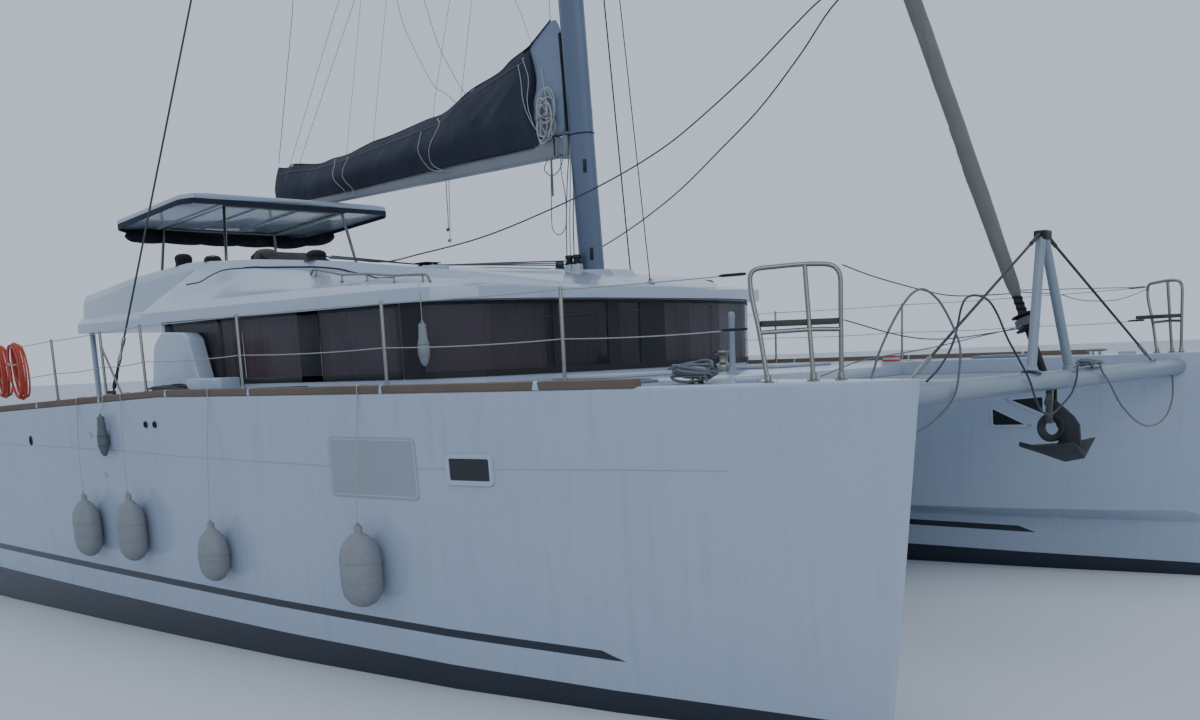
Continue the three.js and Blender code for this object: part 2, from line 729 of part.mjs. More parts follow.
// Columns: distance from the pivot, height of the top above the boom's bottom, half width.
const BAG_RINGS = [
  [230, 1215, 90],
  [700, 1075, 150],
  [1400, 905, 175],
  [2200, 725, 185],
  [3400, 625, 180],
  [4800, 525, 160],
  [5900, 575, 120],
  [6400, 590, 80],
];
const bagRing = ([r, top, half]) => {
  const x = PIVOT.x - r;
  const base = boomTop(r) + GAP;
  const peak = boomBottom(r) + top;
  return [
    [x, half * 0.75, base],
    [x, half, base + (peak - base) * 0.3],
    [x, half * 0.62, base + (peak - base) * 0.75],
    [x, 18, peak],
    [x, -18, peak],
    [x, -half * 0.62, base + (peak - base) * 0.75],
    [x, -half, base + (peak - base) * 0.3],
    [x, -half * 0.75, base],
  ];
};
place("sail_bag", swung(loft(BAG_RINGS.map(bagRing))), canvas());

// Flybridge hardtop on its four struts
const BIMINI_X = [-5200, -3330];
const BIMINI_HALF = [1480, 1500];
const biminiZ = (x) => 4314 + (x - BIMINI_X[1]) * 0.093;
const biminiRing = (x, half, z = biminiZ(x)) => [
  [x, half, z],
  [x, half, z + 78],
  [x, half * 0.87, z + 90],
  [x, 0, z + 92],
  [x, -half * 0.87, z + 90],
  [x, -half, z + 78],
  [x, -half, z],
  [x, 0, z + 45],
];
const biminiTop = solid(loft([
  biminiRing(BIMINI_X[0], BIMINI_HALF[0] - 220),
  biminiRing(BIMINI_X[0] + 200, BIMINI_HALF[0]),
  biminiRing(BIMINI_X[1] - 150, BIMINI_HALF[1]),
  biminiRing(BIMINI_X[1], BIMINI_HALF[1] - 100),
]));
place("bimini_top", biminiTop, gelcoat());
const BIMINI_TUBE = 19;
const HIDDEN = 8;
// Columns: x of the top, x of the foot, half breadth at the top, half breadth at the foot.
const STRUTS = [
  [-3560, -3360, 860, 1060],
  [-5060, -5200, 820, 930],
];
const strutTopZ = (x) => biminiZ(x) + HIDDEN;
const strutEnds = (side) => STRUTS
  .map(([xt, xf, yt, yf]) => [[xf, side * yf, FLY_FLOOR_Z - HIDDEN], [xt, side * yt, strutTopZ(xt)]]);
const frameBars = [];
for (const side of [-1, 1]) {
  const ends = strutEnds(side);
  frameBars.push(...ends);
  frameBars.push([ends[0][1], ends[1][1]]);
}
for (const [xt, , yt] of STRUTS) {
  frameBars.push([[xt, -yt, strutTopZ(xt)], [xt, yt, strutTopZ(xt)]]);
}
place("bimini_frame", frameOf(frameBars, BIMINI_TUBE)
  .subtract(roof.translate([0, 0, GAP]))
  .subtract(biminiTop.translate([0, 0, -GAP])), stainless());
// Curtains of the hardtop, rolled up under its after edge and round the port corner
const ROLL_R = 55;
const ROLL_PATH = [
  // Columns: x, y.
  [-4500, 1400],
  [-4880, 1400],
  [-5165, 1150],
  [-5165, -1200],
];
const rollPoints = ROLL_PATH.map(([x, y]) => [x, y, biminiZ(x) - ROLL_R + HIDDEN]);
place("curtain_roll", frameOf(pathSegments(rollPoints), ROLL_R)
  .subtract(biminiTop.translate([0, 0, -GAP])), canvas());

// Helm on the flybridge, starboard of the middle, with its wheel and seat
const HELM_Y = [-1400, -700];
const HELM_PROFILE = [
  [-2330, FLY_FLOOR_Z + GAP],
  [-1800, FLY_FLOOR_Z + GAP],
  [-1840, 3500],
  [-2150, 3640],
  [-2270, 3590],
];
const WHEEL = { x: -2342, y: (HELM_Y[0] + HELM_Y[1]) / 2, z: 3360, radius: 290, hub: 60 };
const wheelBoss = new THREE.CylinderGeometry(52, 52, 80, 14);
wheelBoss.rotateZ(Math.PI / 2);
wheelBoss.translate(WHEEL.x + WHEEL.hub / 2 + GAP + 40, WHEEL.y, WHEEL.z);
place("helm_console", joined([sidePrism(HELM_PROFILE, ...HELM_Y), wheelBoss]), gelcoat());
const rim = new THREE.TorusGeometry(WHEEL.radius, 14, 8, 32);
const hub = new THREE.CylinderGeometry(45, 45, WHEEL.hub, 12);
hub.rotateX(Math.PI / 2);
const wheelParts = [rim, hub];
for (let k = 0; k < 3; k += 1) {
  const angle = Math.PI / 2 + (2 * Math.PI * k) / 3;
  const end = [WHEEL.radius * Math.cos(angle), WHEEL.radius * Math.sin(angle), 0];
  wheelParts.push(bar([[0, 0, 0], end], 11, { sides: 6 }));
}
const wheelShape = geometryOf(joined(wheelParts));
wheelShape.rotateX(Math.PI / 2);
wheelShape.rotateZ(Math.PI / 2);
const wheelGroup = new THREE.Group();
wheelGroup.position.set(WHEEL.x, WHEEL.y, WHEEL.z);
group.add(wheelGroup);
place("helm_wheel", wheelShape, stainless(), wheelGroup);
const SEAT_PROFILE = [
  [-3290, FLY_FLOOR_Z + GAP],
  [-2880, FLY_FLOOR_Z + GAP],
  [-2860, 3420],
  [-3150, 3440],
  [-3210, 3560],
  [-3300, 3560],
];
place("helm_seat", sidePrism(SEAT_PROFILE, HELM_Y[0] + 60, HELM_Y[1] - 60), vinyl());

// Flybridge lounge: moulded bench to port and aft, and its cushion
// Columns: x, y, counter-clockwise from above.
const LOUNGE_PLAN = [
  [-2100, 500],
  [-2100, 850],
  [-4300, 850],
  [-4300, -700],
  [-4900, -700],
  [-4900, 1450],
  [-1000, 1450],
  [-1000, 500],
];
const LOUNGE_Z = 3330;
let lounge = solid(planPrism(LOUNGE_PLAN, FLY_FLOOR_Z + GAP, LOUNGE_Z));
let loungeCushion = solid(planPrism(LOUNGE_PLAN, LOUNGE_Z + GAP, LOUNGE_Z + 110));
for (const side of [-1, 1]) {
  for (const ends of strutEnds(side)) {
    const room = solid(bar(ends, 45, { sides: 10 }));
    lounge = lounge.subtract(room);
    loungeCushion = loungeCushion.subtract(room);
  }
}
place("fly_lounge", lounge, gelcoat());
place("fly_cushion", loungeCushion, vinyl());

// Sheet and halyard winches on the starboard coaming
// Columns: name, x, y, radius, height.
const WINCHES = [
  ["winch_aft", -3220, -1665, 78, 108],
  ["winch_mid", -2600, -1670, 78, 60],
  ["winch_fore", -740, -1620, 76, -30],
];
for (const [name, x, y, radius, height] of WINCHES) {
  const top = height + 3550;
  const profile = [
    [0, 3300],
    [radius, 3300],
    [radius, top - 90],
    [radius * 0.72, top - 70],
    [radius * 0.72, top - 30],
    [radius * 0.95, top - 20],
    [radius * 0.95, top],
    [0, top],
  ];
  const drum = new THREE.LatheGeometry(profile.map(([r, z]) => new THREE.Vector2(r, z)), 16);
  drum.rotateX(Math.PI / 2);
  drum.translate(x, y, 0);
  place(name, solid(drum).subtract(roof.translate([0, 0, GAP])), stainless());
}

// Bow pulpits with their seats
const DECK_FOOT = DECK_Z + GAP;
const TUBE_R = 13;
const PULPIT = [
  // Columns: foot x, foot y, top x, top y, top z.
  [6042, 3356, 5925, 3360, 2830],
  [6245, 3175, 6183, 3160, 2848],
  [6367, 3060, 6358, 3046, 2835],
];
const pulpitBars = [];
PULPIT.forEach(([fx, fy, tx, ty, tz]) => pulpitBars.push([[fx, fy, DECK_FOOT], [tx, ty, tz]]));
for (let k = 0; k < 2; k += 1) {
  pulpitBars.push([PULPIT[k].slice(2), PULPIT[k + 1].slice(2)]);
}
const SEAT_Z = 2493;
const SEAT_PLAN = [[6385, 3046], [6230, 2900], [5850, 3170], [5985, 3365]];
const seat = planPrism(SEAT_PLAN, SEAT_Z, SEAT_Z + 26);
const pulpit = joined([frameOf(pulpitBars, TUBE_R), seat]);
placePair("pulpit", pulpit.subtract(hull.translate([0, 0, GAP])), stainless);

// Guard rails: stanchions, two lines and the frame round the quarter
const STANCHION_X = [4640, 2938, 1103, -480, -1250, -2250];
const RAIL_H = 635;
const RAIL_INSET = 110;
function outerDeckY(x) {
  const k = HULL_STATIONS.findIndex(([station]) => station >= x);
  const [x1, y1] = HULL_STATIONS[k];
  const [x0, y0] = HULL_STATIONS[Math.max(k - 1, 0)];
  return HULL_Y + THREE.MathUtils.mapLinear(x, x0, x1, y0, y1);
}
const railY = (x) => outerDeckY(x) - RAIL_INSET;
const railBars = STANCHION_X.map((x) => [[x, railY(x), sheerZ(x) + 1], [x, railY(x), sheerZ(x) + RAIL_H]]);
const railPath = (share) => [
  [PULPIT[0][2] - 30, PULPIT[0][3] + 8, 2165 + 640 * share],
  ...STANCHION_X.map((x) => [x, railY(x), sheerZ(x) + (RAIL_H - 8) * share]),
  [-4300, railY(-4300), sheerZ(-4300) + RAIL_H * share],
];
const lines = [1, 0.5].flatMap((share) => pathSegments(railPath(share)));
const QUARTER_X = [-4300, -4950];
const quarterBars = QUARTER_X.map((x) => [[x, railY(x), sheerZ(x) + 1], [x, railY(x), sheerZ(x) + RAIL_H]]);
for (const share of [1, 0.5]) {
  quarterBars.push(QUARTER_X.map((x) => [x, railY(x), sheerZ(x) + RAIL_H * share]));
}
placePair("guard_rail", joined([
  frameOf([...railBars, ...quarterBars], TUBE_R),
  frameOf(lines, 5, 6),
]).subtract(hull.translate([0, 0, GAP])), stainless);

// Teak toe rails along the outer deck edges
const TOE_STATIONS = HULL_STATIONS.filter(([x]) => x >= -4000 && x <= 5200);
const toeRail = loft(TOE_STATIONS.map(([x, outer]) => {
  const y = HULL_Y + outer;
  const z = sheerZ(x) + GAP;
  return [[x, y - 70, z], [x, y - 12, z], [x, y - 14, z + 34], [x, y - 66, z + 34]];
}));
placePair("toe_rail", toeRail, teak);

// Windlass and its locker lid stand on the foredeck
const WINDLASS_X = 3200;
// Columns: radius, height above the deck.
const CAPSTAN_PROFILE = [
  [0, 0],
  [90, 0],
  [90, 60],
  [48, 80],
  [48, 150],
  [72, 165],
  [72, 190],
  [0, 190],
];
const capstan = new THREE.LatheGeometry(CAPSTAN_PROFILE.map(([r, z]) => new THREE.Vector2(r, z)), 16);
capstan.rotateX(Math.PI / 2);
capstan.translate(WINDLASS_X, 0, DECK_FOOT);
place("windlass", capstan, stainless());

// Lids: two lockers on the foredeck, two engine rooms in the side decks aft
const LID_T = 32;
placePair("locker_lid", box(...LOCKER_LID.x, ...LOCKER_LID.y, DECK_FOOT, DECK_FOOT + LID_T), nonSkid);
const engineLid = sidePrism([
  [ENGINE_LID[0], sheerZ(ENGINE_LID[0]) + GAP],
  [ENGINE_LID[1], sheerZ(ENGINE_LID[1]) + GAP],
  [ENGINE_LID[1], sheerZ(ENGINE_LID[1]) + LID_T],
  [ENGINE_LID[0], sheerZ(ENGINE_LID[0]) + LID_T],
], ENGINE_WELL_Y[0] - 50, ENGINE_WELL_Y[1] + 50);
placePair("engine_lid", engineLid, nonSkid);

// Cockpit: bench cushion on the after beam, and the table
place("cockpit_cushion", box(-5880, -5440, -1500, 1500, BENCH_Z + GAP, BENCH_Z + 110), vinyl());
const tableTop = box(-4700, -3400, 250, 1250, 1660, 1700);
place("cockpit_table", joined([
  tableTop,
  post(-4400, 750, FLOOR_Z + GAP, 1670, 50),
  post(-3700, 750, FLOOR_Z + GAP, 1670, 50),
]), gelcoat());

// Saloon seen through the glass: settee and table
const settee = planPrism([[-1800, -2200], [-1800, -1600], [-400, -1600], [-400, -2200]], FLOOR_Z + GAP, 1400);
place("saloon_settee", settee, vinyl());

// Drive legs with their propellers
const LEG_X = [-4780, -4380];
const TORPEDO_AFT = -4940;
const PROP_HUB = 120;
const PROP_X = TORPEDO_AFT - GAP - PROP_HUB / 2;
const PROP_Z = -660;
// Columns: radius, x.
const TORPEDO_PROFILE = [
  [0, TORPEDO_AFT],
  [48, TORPEDO_AFT],
  [62, TORPEDO_AFT + 40],
  [62, -4500],
  [40, -4420],
  [0, -4400],
];
const torpedo = new THREE.LatheGeometry(TORPEDO_PROFILE.map(([r, x]) => new THREE.Vector2(r, x)), 12);
torpedo.rotateZ(-Math.PI / 2);
torpedo.translate(0, HULL_Y, PROP_Z);
const leg = loft([foil(-820, LEG_X[0] + 90, LEG_X[1] - 60, 26), foil(-640, LEG_X[0], LEG_X[1], 50),
  foil(-150, LEG_X[0] - 20, LEG_X[1] + 60, 62)], [0, 1]);
placePair("drive_leg", joined([torpedo, leg]).subtract(hull.translate([0, 0, -GAP])), antifouling);
const PROP_R = 225;
const bladePlan = [[0, -10], [60, -55], [150, -70], [PROP_R, -20], [PROP_R, 25], [140, 60], [50, 40]];
const propParts = [new THREE.CylinderGeometry(46, 34, PROP_HUB, 14).rotateZ(-Math.PI / 2)];
for (let k = 0; k < 3; k += 1) {
  const blade = new THREE.ExtrudeGeometry(shapeOf(bladePlan), { depth: 9, bevelEnabled: false });
  blade.translate(0, 0, -4.5);
  blade.rotateX(0.6);
  blade.rotateZ(Math.PI / 2);
  blade.rotateX((2 * Math.PI * k) / 3);
  propParts.push(blade);
}
const propShape = geometryOf(joined(propParts));
for (const [name, side] of [["propeller_port", 1], ["propeller_starboard", -1]]) {
  const holder = new THREE.Group();
  holder.position.set(PROP_X, side * HULL_Y, PROP_Z);
  group.add(holder);
  place(name, side > 0 ? propShape : mirrored(propShape), material(0xb08d57, 0.35, 1.0), holder);
}

// Rudders under their bearings
const RUDDER = { x: -6020, top: -262, tip: -1040, stock: 30 };
const rudderBlade = loft([foil(RUDDER.tip, -6290, -5860, 20), foil(RUDDER.top, -6400, -5830, 42)], [0, 1]);
const rudder = joined([rudderBlade, post(RUDDER.x, HULL_Y, RUDDER.top - 200, BEARING_Z - GAP, RUDDER.stock)]);
placePair("rudder", rudder, antifouling);

export default group;
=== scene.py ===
"""Dresses the sailing catamaran: its finishes, glazing, soft goods, rigging and deck fittings."""

import logging
import math
from contextlib import contextmanager
from dataclasses import dataclass, field
from enum import Enum
from functools import lru_cache
from typing import Callable, Iterator, NamedTuple, Sequence

import bmesh
import bpy
from mathutils import Matrix, Vector
from mathutils.bvhtree import BVHTree


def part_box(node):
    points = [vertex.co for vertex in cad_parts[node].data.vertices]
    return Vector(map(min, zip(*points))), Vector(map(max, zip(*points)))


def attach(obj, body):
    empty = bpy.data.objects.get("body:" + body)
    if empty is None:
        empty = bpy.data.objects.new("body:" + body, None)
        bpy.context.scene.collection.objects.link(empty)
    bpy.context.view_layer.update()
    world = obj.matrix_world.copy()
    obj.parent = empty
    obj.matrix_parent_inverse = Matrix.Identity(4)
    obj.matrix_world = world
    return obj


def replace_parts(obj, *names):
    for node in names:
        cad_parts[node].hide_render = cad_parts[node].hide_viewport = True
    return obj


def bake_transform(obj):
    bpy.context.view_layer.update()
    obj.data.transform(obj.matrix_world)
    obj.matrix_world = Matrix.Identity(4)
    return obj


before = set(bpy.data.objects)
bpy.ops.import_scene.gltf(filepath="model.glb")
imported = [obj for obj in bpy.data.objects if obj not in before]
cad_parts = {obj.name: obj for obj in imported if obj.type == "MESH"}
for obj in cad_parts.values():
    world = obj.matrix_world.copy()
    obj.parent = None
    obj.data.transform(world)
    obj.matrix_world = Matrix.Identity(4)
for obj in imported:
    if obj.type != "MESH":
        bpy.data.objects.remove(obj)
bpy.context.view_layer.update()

Point = tuple[float, float, float]
Piece = bpy.types.Object
LOG = logging.getLogger("catamaran")
ROOT = "boat"


# Finishes


def linear(colour: str) -> tuple[float, float, float, float]:
    """Turns an sRGB hex colour into the linear values that the shaders take."""
    parts = [int(colour[k:k + 2], 16) / 255 for k in (1, 3, 5)]
    return (*(c / 12.92 if c <= 0.04045 else ((c + 0.055) / 1.055) ** 2.4 for c in parts), 1.0)


def add_node(
    tree: bpy.types.NodeTree, kind: str, links: dict[str | int, bpy.types.NodeSocket] | None = None,
    values: dict[str | int, object] | None = None, **settings: object,
) -> bpy.types.Node:
    """Adds one node with its settings and its links.

    Args:
        tree: The material's node tree.
        kind: Node type without its ShaderNode prefix.
        links: Output sockets to join to the named or numbered inputs.
        values: Constants for the named or numbered inputs.
        settings: Attributes of the node itself.

    Returns:
        The new node.
    """
    node = tree.nodes.new("ShaderNode" + kind)
    for name, value in settings.items():
        setattr(node, name, value)
    for name, value in (values or {}).items():
        node.inputs[name].default_value = value
    for name, socket in (links or {}).items():
        tree.links.new(socket, node.inputs[name])
    return node


class Pattern(Enum):
    """How a surface was made, which gives its relief."""

    POLISHED = "polished"
    SPRAYED = "sprayed"
    DIAMOND = "moulded in diamonds"
    BRUSHED = "drawn"
    CAST = "cast"
    WOVEN = "woven"
    STRANDED = "laid or braided"
    GRAIN = "sawn"
    EMBOSSED = "embossed"


@dataclass(frozen=True)
class Finish:
    """One real material: its colour, its gloss and the relief that its making leaves."""

    name: str
    colour: str
    tone: str
    roughness: float
    pattern: Pattern = Pattern.POLISHED
    pitch_mm: float = 4.0
    relief_mm: float = 0.1
    metallic: float = 0.0
    coat: float = 0.0
    sheen: float = 0.0
    alpha: float = 1.0
    drift_mm: float = 900.0
    stretch: Point = (1.0, 1.0, 1.0)

    def build(self) -> bpy.types.Material:
        """Makes the material once and returns it after that."""
        known = bpy.data.materials.get(self.name)
        if known:
            return known
        material = bpy.data.materials.new(self.name)
        material.use_nodes = True
        tree = material.node_tree
        shader = tree.nodes["Principled BSDF"]
        constants = {
            "Metallic": self.metallic, "Coat Weight": self.coat, "Coat Roughness": 0.08,
            "Sheen Weight": self.sheen, "Sheen Roughness": 0.5, "Alpha": self.alpha,
        }
        for name, value in constants.items():
            shader.inputs[name].default_value = value
        place = add_node(tree, "TexCoord").outputs["Object"]
        stretched = add_node(tree, "Mapping", {"Vector": place}, {"Scale": self.stretch}).outputs[0]
        drift = add_node(
            tree, "TexNoise", {"Vector": stretched},
            {"Scale": 1000 / self.drift_mm, "Detail": 5.0, "Roughness": 0.6}).outputs["Fac"]
        relief = self.relief(tree, stretched)
        share = add_node(tree, "Math", {0: drift, 1: relief}, {2: 0.12}, operation="MULTIPLY_ADD").outputs[0]
        colour = add_node(
            tree, "Mix", {0: share}, {6: linear(self.colour), 7: linear(self.tone)},
            data_type="RGBA").outputs[2]
        tree.links.new(self.tint(tree, place, colour), shader.inputs["Base Color"])
        wear = add_node(
            tree, "MapRange", {"Value": drift},
            {"From Min": 0.3, "From Max": 0.7, "To Min": self.roughness * 0.8,
             "To Max": min(1.0, self.roughness * 1.25)})
        tree.links.new(wear.outputs[0], shader.inputs["Roughness"])
        bump = add_node(tree, "Bump", {"Height": relief}, {"Strength": 0.6, "Distance": self.relief_mm / 1000})
        tree.links.new(bump.outputs[0], shader.inputs["Normal"])
        return material

    def tint(
        self, tree: bpy.types.NodeTree, place: bpy.types.NodeSocket, colour: bpy.types.NodeSocket,
    ) -> bpy.types.NodeSocket:
        """Paints over the colour. A plain finish leaves it as it is."""
        return colour

    def relief(self, tree: bpy.types.NodeTree, place: bpy.types.NodeSocket) -> bpy.types.NodeSocket:
        """Builds the height of the surface's pattern.

        Args:
            tree: The material's node tree.
            place: Socket with the object coordinates.

        Returns:
            A socket with heights from 0 to 1.
        """
        band = 314.0 / self.pitch_mm
        cell = 1000.0 / self.pitch_mm
        waves = {
            Pattern.WOVEN: ("X", "Z", "Y"), Pattern.DIAMOND: ("X", "Y"), Pattern.STRANDED: ("DIAGONAL",),
        }
        if self.pattern in waves:
            heights = [
                add_node(tree, "TexWave", {"Vector": place}, {"Scale": band}, bands_direction=way).outputs["Fac"]
                for way in waves[self.pattern]
            ]
            total = heights[0]
            for height in heights[1:]:
                total = add_node(tree, "Math", {0: total, 1: height}, operation="MULTIPLY").outputs[0]
            return total
        if self.pattern is Pattern.GRAIN:
            grain = add_node(tree, "Mapping", {"Vector": place}, {"Scale": (0.04, 1.0, 1.0)}).outputs[0]
            return add_node(
                tree, "TexNoise", {"Vector": grain}, {"Scale": cell, "Detail": 6.0, "Distortion": 0.6}).outputs["Fac"]
        if self.pattern is Pattern.BRUSHED:
            drawn = add_node(tree, "Mapping", {"Vector": place}, {"Scale": (1.0, 1.0, 0.02)}).outputs[0]
            return add_node(tree, "TexNoise", {"Vector": drawn}, {"Scale": cell, "Detail": 3.0}).outputs["Fac"]
        if self.pattern in (Pattern.CAST, Pattern.EMBOSSED):
            return add_node(tree, "TexVoronoi", {"Vector": place}, {"Scale": cell}).outputs["Distance"]
        return add_node(tree, "TexNoise", {"Vector": place}, {"Scale": cell, "Detail": 2.0}).outputs["Fac"]


@dataclass(frozen=True)
class HullCoat(Finish):
    """Gelcoat with the boot top and the short stripe above it, and streaks that run down from the deck."""

    navy: str = "#151c2b"
    streak: str = "#96a2ae"
    boot_m: float = 0.265
    rise: float = 0.021
    stripe_m: tuple[float, float] = (0.37, 0.43)
    stripe_tip_m: float = 5.04

    def above(
        self, tree: bpy.types.NodeTree, value: bpy.types.NodeSocket, limit: float, soft: float = 0.002,
    ) -> bpy.types.NodeSocket:
        """Gives 1 where the value is over the limit and 0 under it."""
        return add_node(
            tree, "MapRange", {"Value": value}, {"From Min": limit - soft, "From Max": limit + soft}).outputs[0]

    def tint(
        self, tree: bpy.types.NodeTree, place: bpy.types.NodeSocket, colour: bpy.types.NodeSocket,
    ) -> bpy.types.NodeSocket:
        """Paints the streaks, then the two dark bands, whose edges rise a little towards the stern."""
        axes = add_node(tree, "SeparateXYZ", {"Vector": place}).outputs
        run = add_node(tree, "Mapping", {"Vector": place}, {"Scale": (5.0, 5.0, 0.35)}).outputs[0]
        dirt = add_node(tree, "TexNoise", {"Vector": run}, {"Scale": 2.4, "Detail": 6.0}).outputs["Fac"]
        share = add_node(
            tree, "MapRange", {"Value": dirt}, {"From Min": 0.52, "From Max": 0.85, "To Max": 0.5}).outputs[0]
        colour = add_node(
            tree, "Mix", {0: share, 6: colour}, {7: linear(self.streak)}, data_type="RGBA").outputs[2]
        height = add_node(
            tree, "Math", {0: axes["X"], 2: axes["Z"]}, {1: self.rise}, operation="MULTIPLY_ADD").outputs[0]
        low, high = (level + self.rise * self.stripe_tip_m for level in self.stripe_m)
        # The stripe's fore end is cut on the slant, so its lower edge reaches further forward
        slant = add_node(
            tree, "Math", {0: height, 2: axes["X"]}, {1: 3.0}, operation="MULTIPLY_ADD").outputs[0]
        behind = self.above(tree, slant, self.stripe_tip_m + 3.0 * low, 0.004)
        factors = [
            add_node(tree, "Math", {1: self.above(tree, height, low)}, {0: 1.0}, operation="MULTIPLY").outputs[0],
            add_node(tree, "Math", {1: self.above(tree, height, high)}, {0: 1.0}, operation="SUBTRACT").outputs[0],
            add_node(tree, "Math", {1: behind}, {0: 1.0}, operation="SUBTRACT").outputs[0],
        ]
        stripe = factors[0]
        for factor in factors[1:]:
            stripe = add_node(tree, "Math", {0: stripe, 1: factor}, operation="MULTIPLY").outputs[0]
        boot = add_node(
            tree, "Math", {1: self.above(tree, height, self.boot_m)}, {0: 1.0}, operation="SUBTRACT").outputs[0]
        dark = add_node(tree, "Math", {0: stripe, 1: boot}, operation="MAXIMUM").outputs[0]
        return add_node(tree, "Mix", {0: dark, 6: colour}, {7: linear(self.navy)}, data_type="RGBA").outputs[2]


# Sprayed polyester gelcoat: white, wet gloss, with the faint orange peel of a mould that was polished by hand. Its blue
# grey colours here are painted shade: the white as it looks in shade
GELCOAT_AND_SHADE = Finish("sprayed_gelcoat_painted_shade", "#b0bbc9", "#a0adbd", 0.24, Pattern.SPRAYED, 14.0, 0.08, coat=0.5)
HULL_COAT_AND_SHADE = HullCoat("hull_gelcoat_painted_shade", "#abb7c8", "#9ba8bb", 0.26, Pattern.SPRAYED, 22.0, 0.1, coat=0.4)
# Moulded non-skid: matt white diamonds, drawn at 20 mm because the real 5 mm ones are too fine to show
NON_SKID = Finish("moulded_non_skid", "#aab3be", "#99a3ae", 0.75, Pattern.DIAMOND, 20.0, 0.8)
# Frosted vinyl film on the hull: flat pale grey
FROST = Finish("frosted_vinyl", "#98a2ab", "#8d979f", 0.6, Pattern.EMBOSSED, 6.0, 0.05)
FROST_EDGE = Finish("pale_vinyl_border", "#a8b3bf", "#99a5b2", 0.5, Pattern.SPRAYED, 12.0, 0.05)
# Cast acrylic, tinted: nearly black, mirror smooth, so that curtains show through it faintly
ACRYLIC = Finish(
    "tinted_cast_acrylic", "#2e2830", "#352e38", 0.17, Pattern.POLISHED, 400.0, 0.02, coat=0.2, alpha=0.42)
BLIND_ACRYLIC = Finish("black_cast_acrylic", "#14161a", "#1a1d22", 0.08, Pattern.POLISHED, 400.0, 0.02, coat=0.3)
# Sealant: matt black rubber that the panes are bonded with
SEALANT = Finish("black_sealant", "#121417", "#1b1e22", 0.55, Pattern.CAST, 9.0, 0.1)
# Polyester curtain cloth: mauve brown, soft, with hanging pleats
CURTAIN = Finish("woven_polyester_curtain", "#978290", "#7b6878", 0.9, Pattern.WOVEN, 10.0, 0.2, sheen=0.3)
# Solution-dyed acrylic canvas: charcoal navy, matt, faded where it creases; the 1 mm weave is drawn at 8 mm
CANVAS = Finish("acrylic_canvas", "#1c2132", "#2b3145", 0.9, Pattern.WOVEN, 8.0, 0.3, sheen=0.05, drift_mm=350.0)
BLACK_CANVAS = Finish("black_canvas", "#0f1117", "#1a1d25", 0.92, Pattern.WOVEN, 8.0, 0.3, sheen=0.04, drift_mm=200.0)
# Woven polyester sailcloth: bluish white, crisp, slightly shiny; its colour is painted shade, the darker blue grey that
# the cloth shows in shade
SAILCLOTH_IN_SHADE = Finish("woven_sailcloth_painted_shade", "#7a8699", "#656f82", 0.6, Pattern.WOVEN, 10.0, 0.15)
# Sun strip of the rolled headsail: the same cloth in faded grey
SUN_STRIP = Finish("sun_strip_cloth", "#6f706e", "#585a5a", 0.8, Pattern.WOVEN, 10.0, 0.2, sheen=0.2, drift_mm=250.0)
# Upholstery vinyl: off-white, pebbled at 3 mm and drawn at 6 mm
VINYL = Finish("embossed_vinyl", "#d6d1c6", "#c5bfb2", 0.5, Pattern.EMBOSSED, 6.0, 0.25)
# Polished 316 stainless steel: bright, slightly warm, with water spots
STAINLESS = Finish("polished_stainless", "#94968f", "#787a74", 0.26, Pattern.POLISHED, 30.0, 0.02, metallic=1.0)
# Anodised aluminium extrusion: satin blue grey with drawing lines along it
ANODISED = Finish("anodised_aluminium", "#707c90", "#5d687b", 0.45, Pattern.BRUSHED, 6.0, 0.05, metallic=0.35)
# Painted aluminium of the crossbeam, the walkway, the striker's legs and the vent: pale paint, drawn in a darker blue
# grey that is painted shade
SPAR_PAINT_AND_SHADE = Finish("painted_aluminium", "#8b96a3", "#78838f", 0.38, Pattern.SPRAYED, 12.0, 0.05, coat=0.2)
# The boom: the same pale paint, drawn in dark grey as painted shade, since the boom lies in shade
BOOM_PAINT_AND_SHADE = Finish("painted_aluminium_in_painted_shade", "#85878f", "#73767e", 0.42, Pattern.SPRAYED, 12.0, 0.05)
# Guard line: wire in a pale plastic sleeve
COATED_WIRE = Finish("pvc_coated_wire", "#a2a3a1", "#86898a", 0.5, Pattern.SPRAYED, 12.0, 0.05)
# Seats of the pulpits: teak that has gone nearly black with damp
DARK_TEAK = Finish("dark_weathered_teak", "#4a4741", "#353330", 0.75, Pattern.GRAIN, 9.0, 0.6)
GREY_FENDER = Finish("grey_moulded_pvc", "#5f6b6c", "#4e595b", 0.55, Pattern.SPRAYED, 40.0, 0.3, drift_mm=160.0)
# Hot-dip galvanised steel, weathered dark
GALVANISED = Finish("weathered_galvanised_steel", "#4a4d50", "#33363a", 0.62, Pattern.CAST, 18.0, 0.5, metallic=0.6)
BLACK_ANODISED = Finish("black_anodised_fitting", "#1b1d20", "#2b2e32", 0.4, Pattern.CAST, 8.0, 0.1, metallic=0.4)
# Dyform wire: grey strands laid in a long spiral
WIRE = Finish("stranded_wire", "#6d7275", "#4d5154", 0.35, Pattern.STRANDED, 12.0, 0.5, metallic=0.9)
# Black sleeve over the wire of the shrouds and the striker's stays
SLEEVED_WIRE = Finish("black_sleeved_wire", "#25282c", "#34383d", 0.5, Pattern.STRANDED, 14.0, 0.3)
# Braided polyester: white with a grey fleck, and the dark one of the headsail's sheets
WHITE_ROPE = Finish("braided_polyester", "#b4b6b4", "#85888a", 0.85, Pattern.STRANDED, 12.0, 0.8, sheen=0.2)
GREY_ROPE = Finish("grey_braided_polyester", "#6b737a", "#484e54", 0.85, Pattern.STRANDED, 14.0, 0.8, sheen=0.2)
DARK_ROPE = Finish("dark_braided_polyester", "#2a2e34", "#3f444b", 0.85, Pattern.STRANDED, 12.0, 0.8, sheen=0.2)
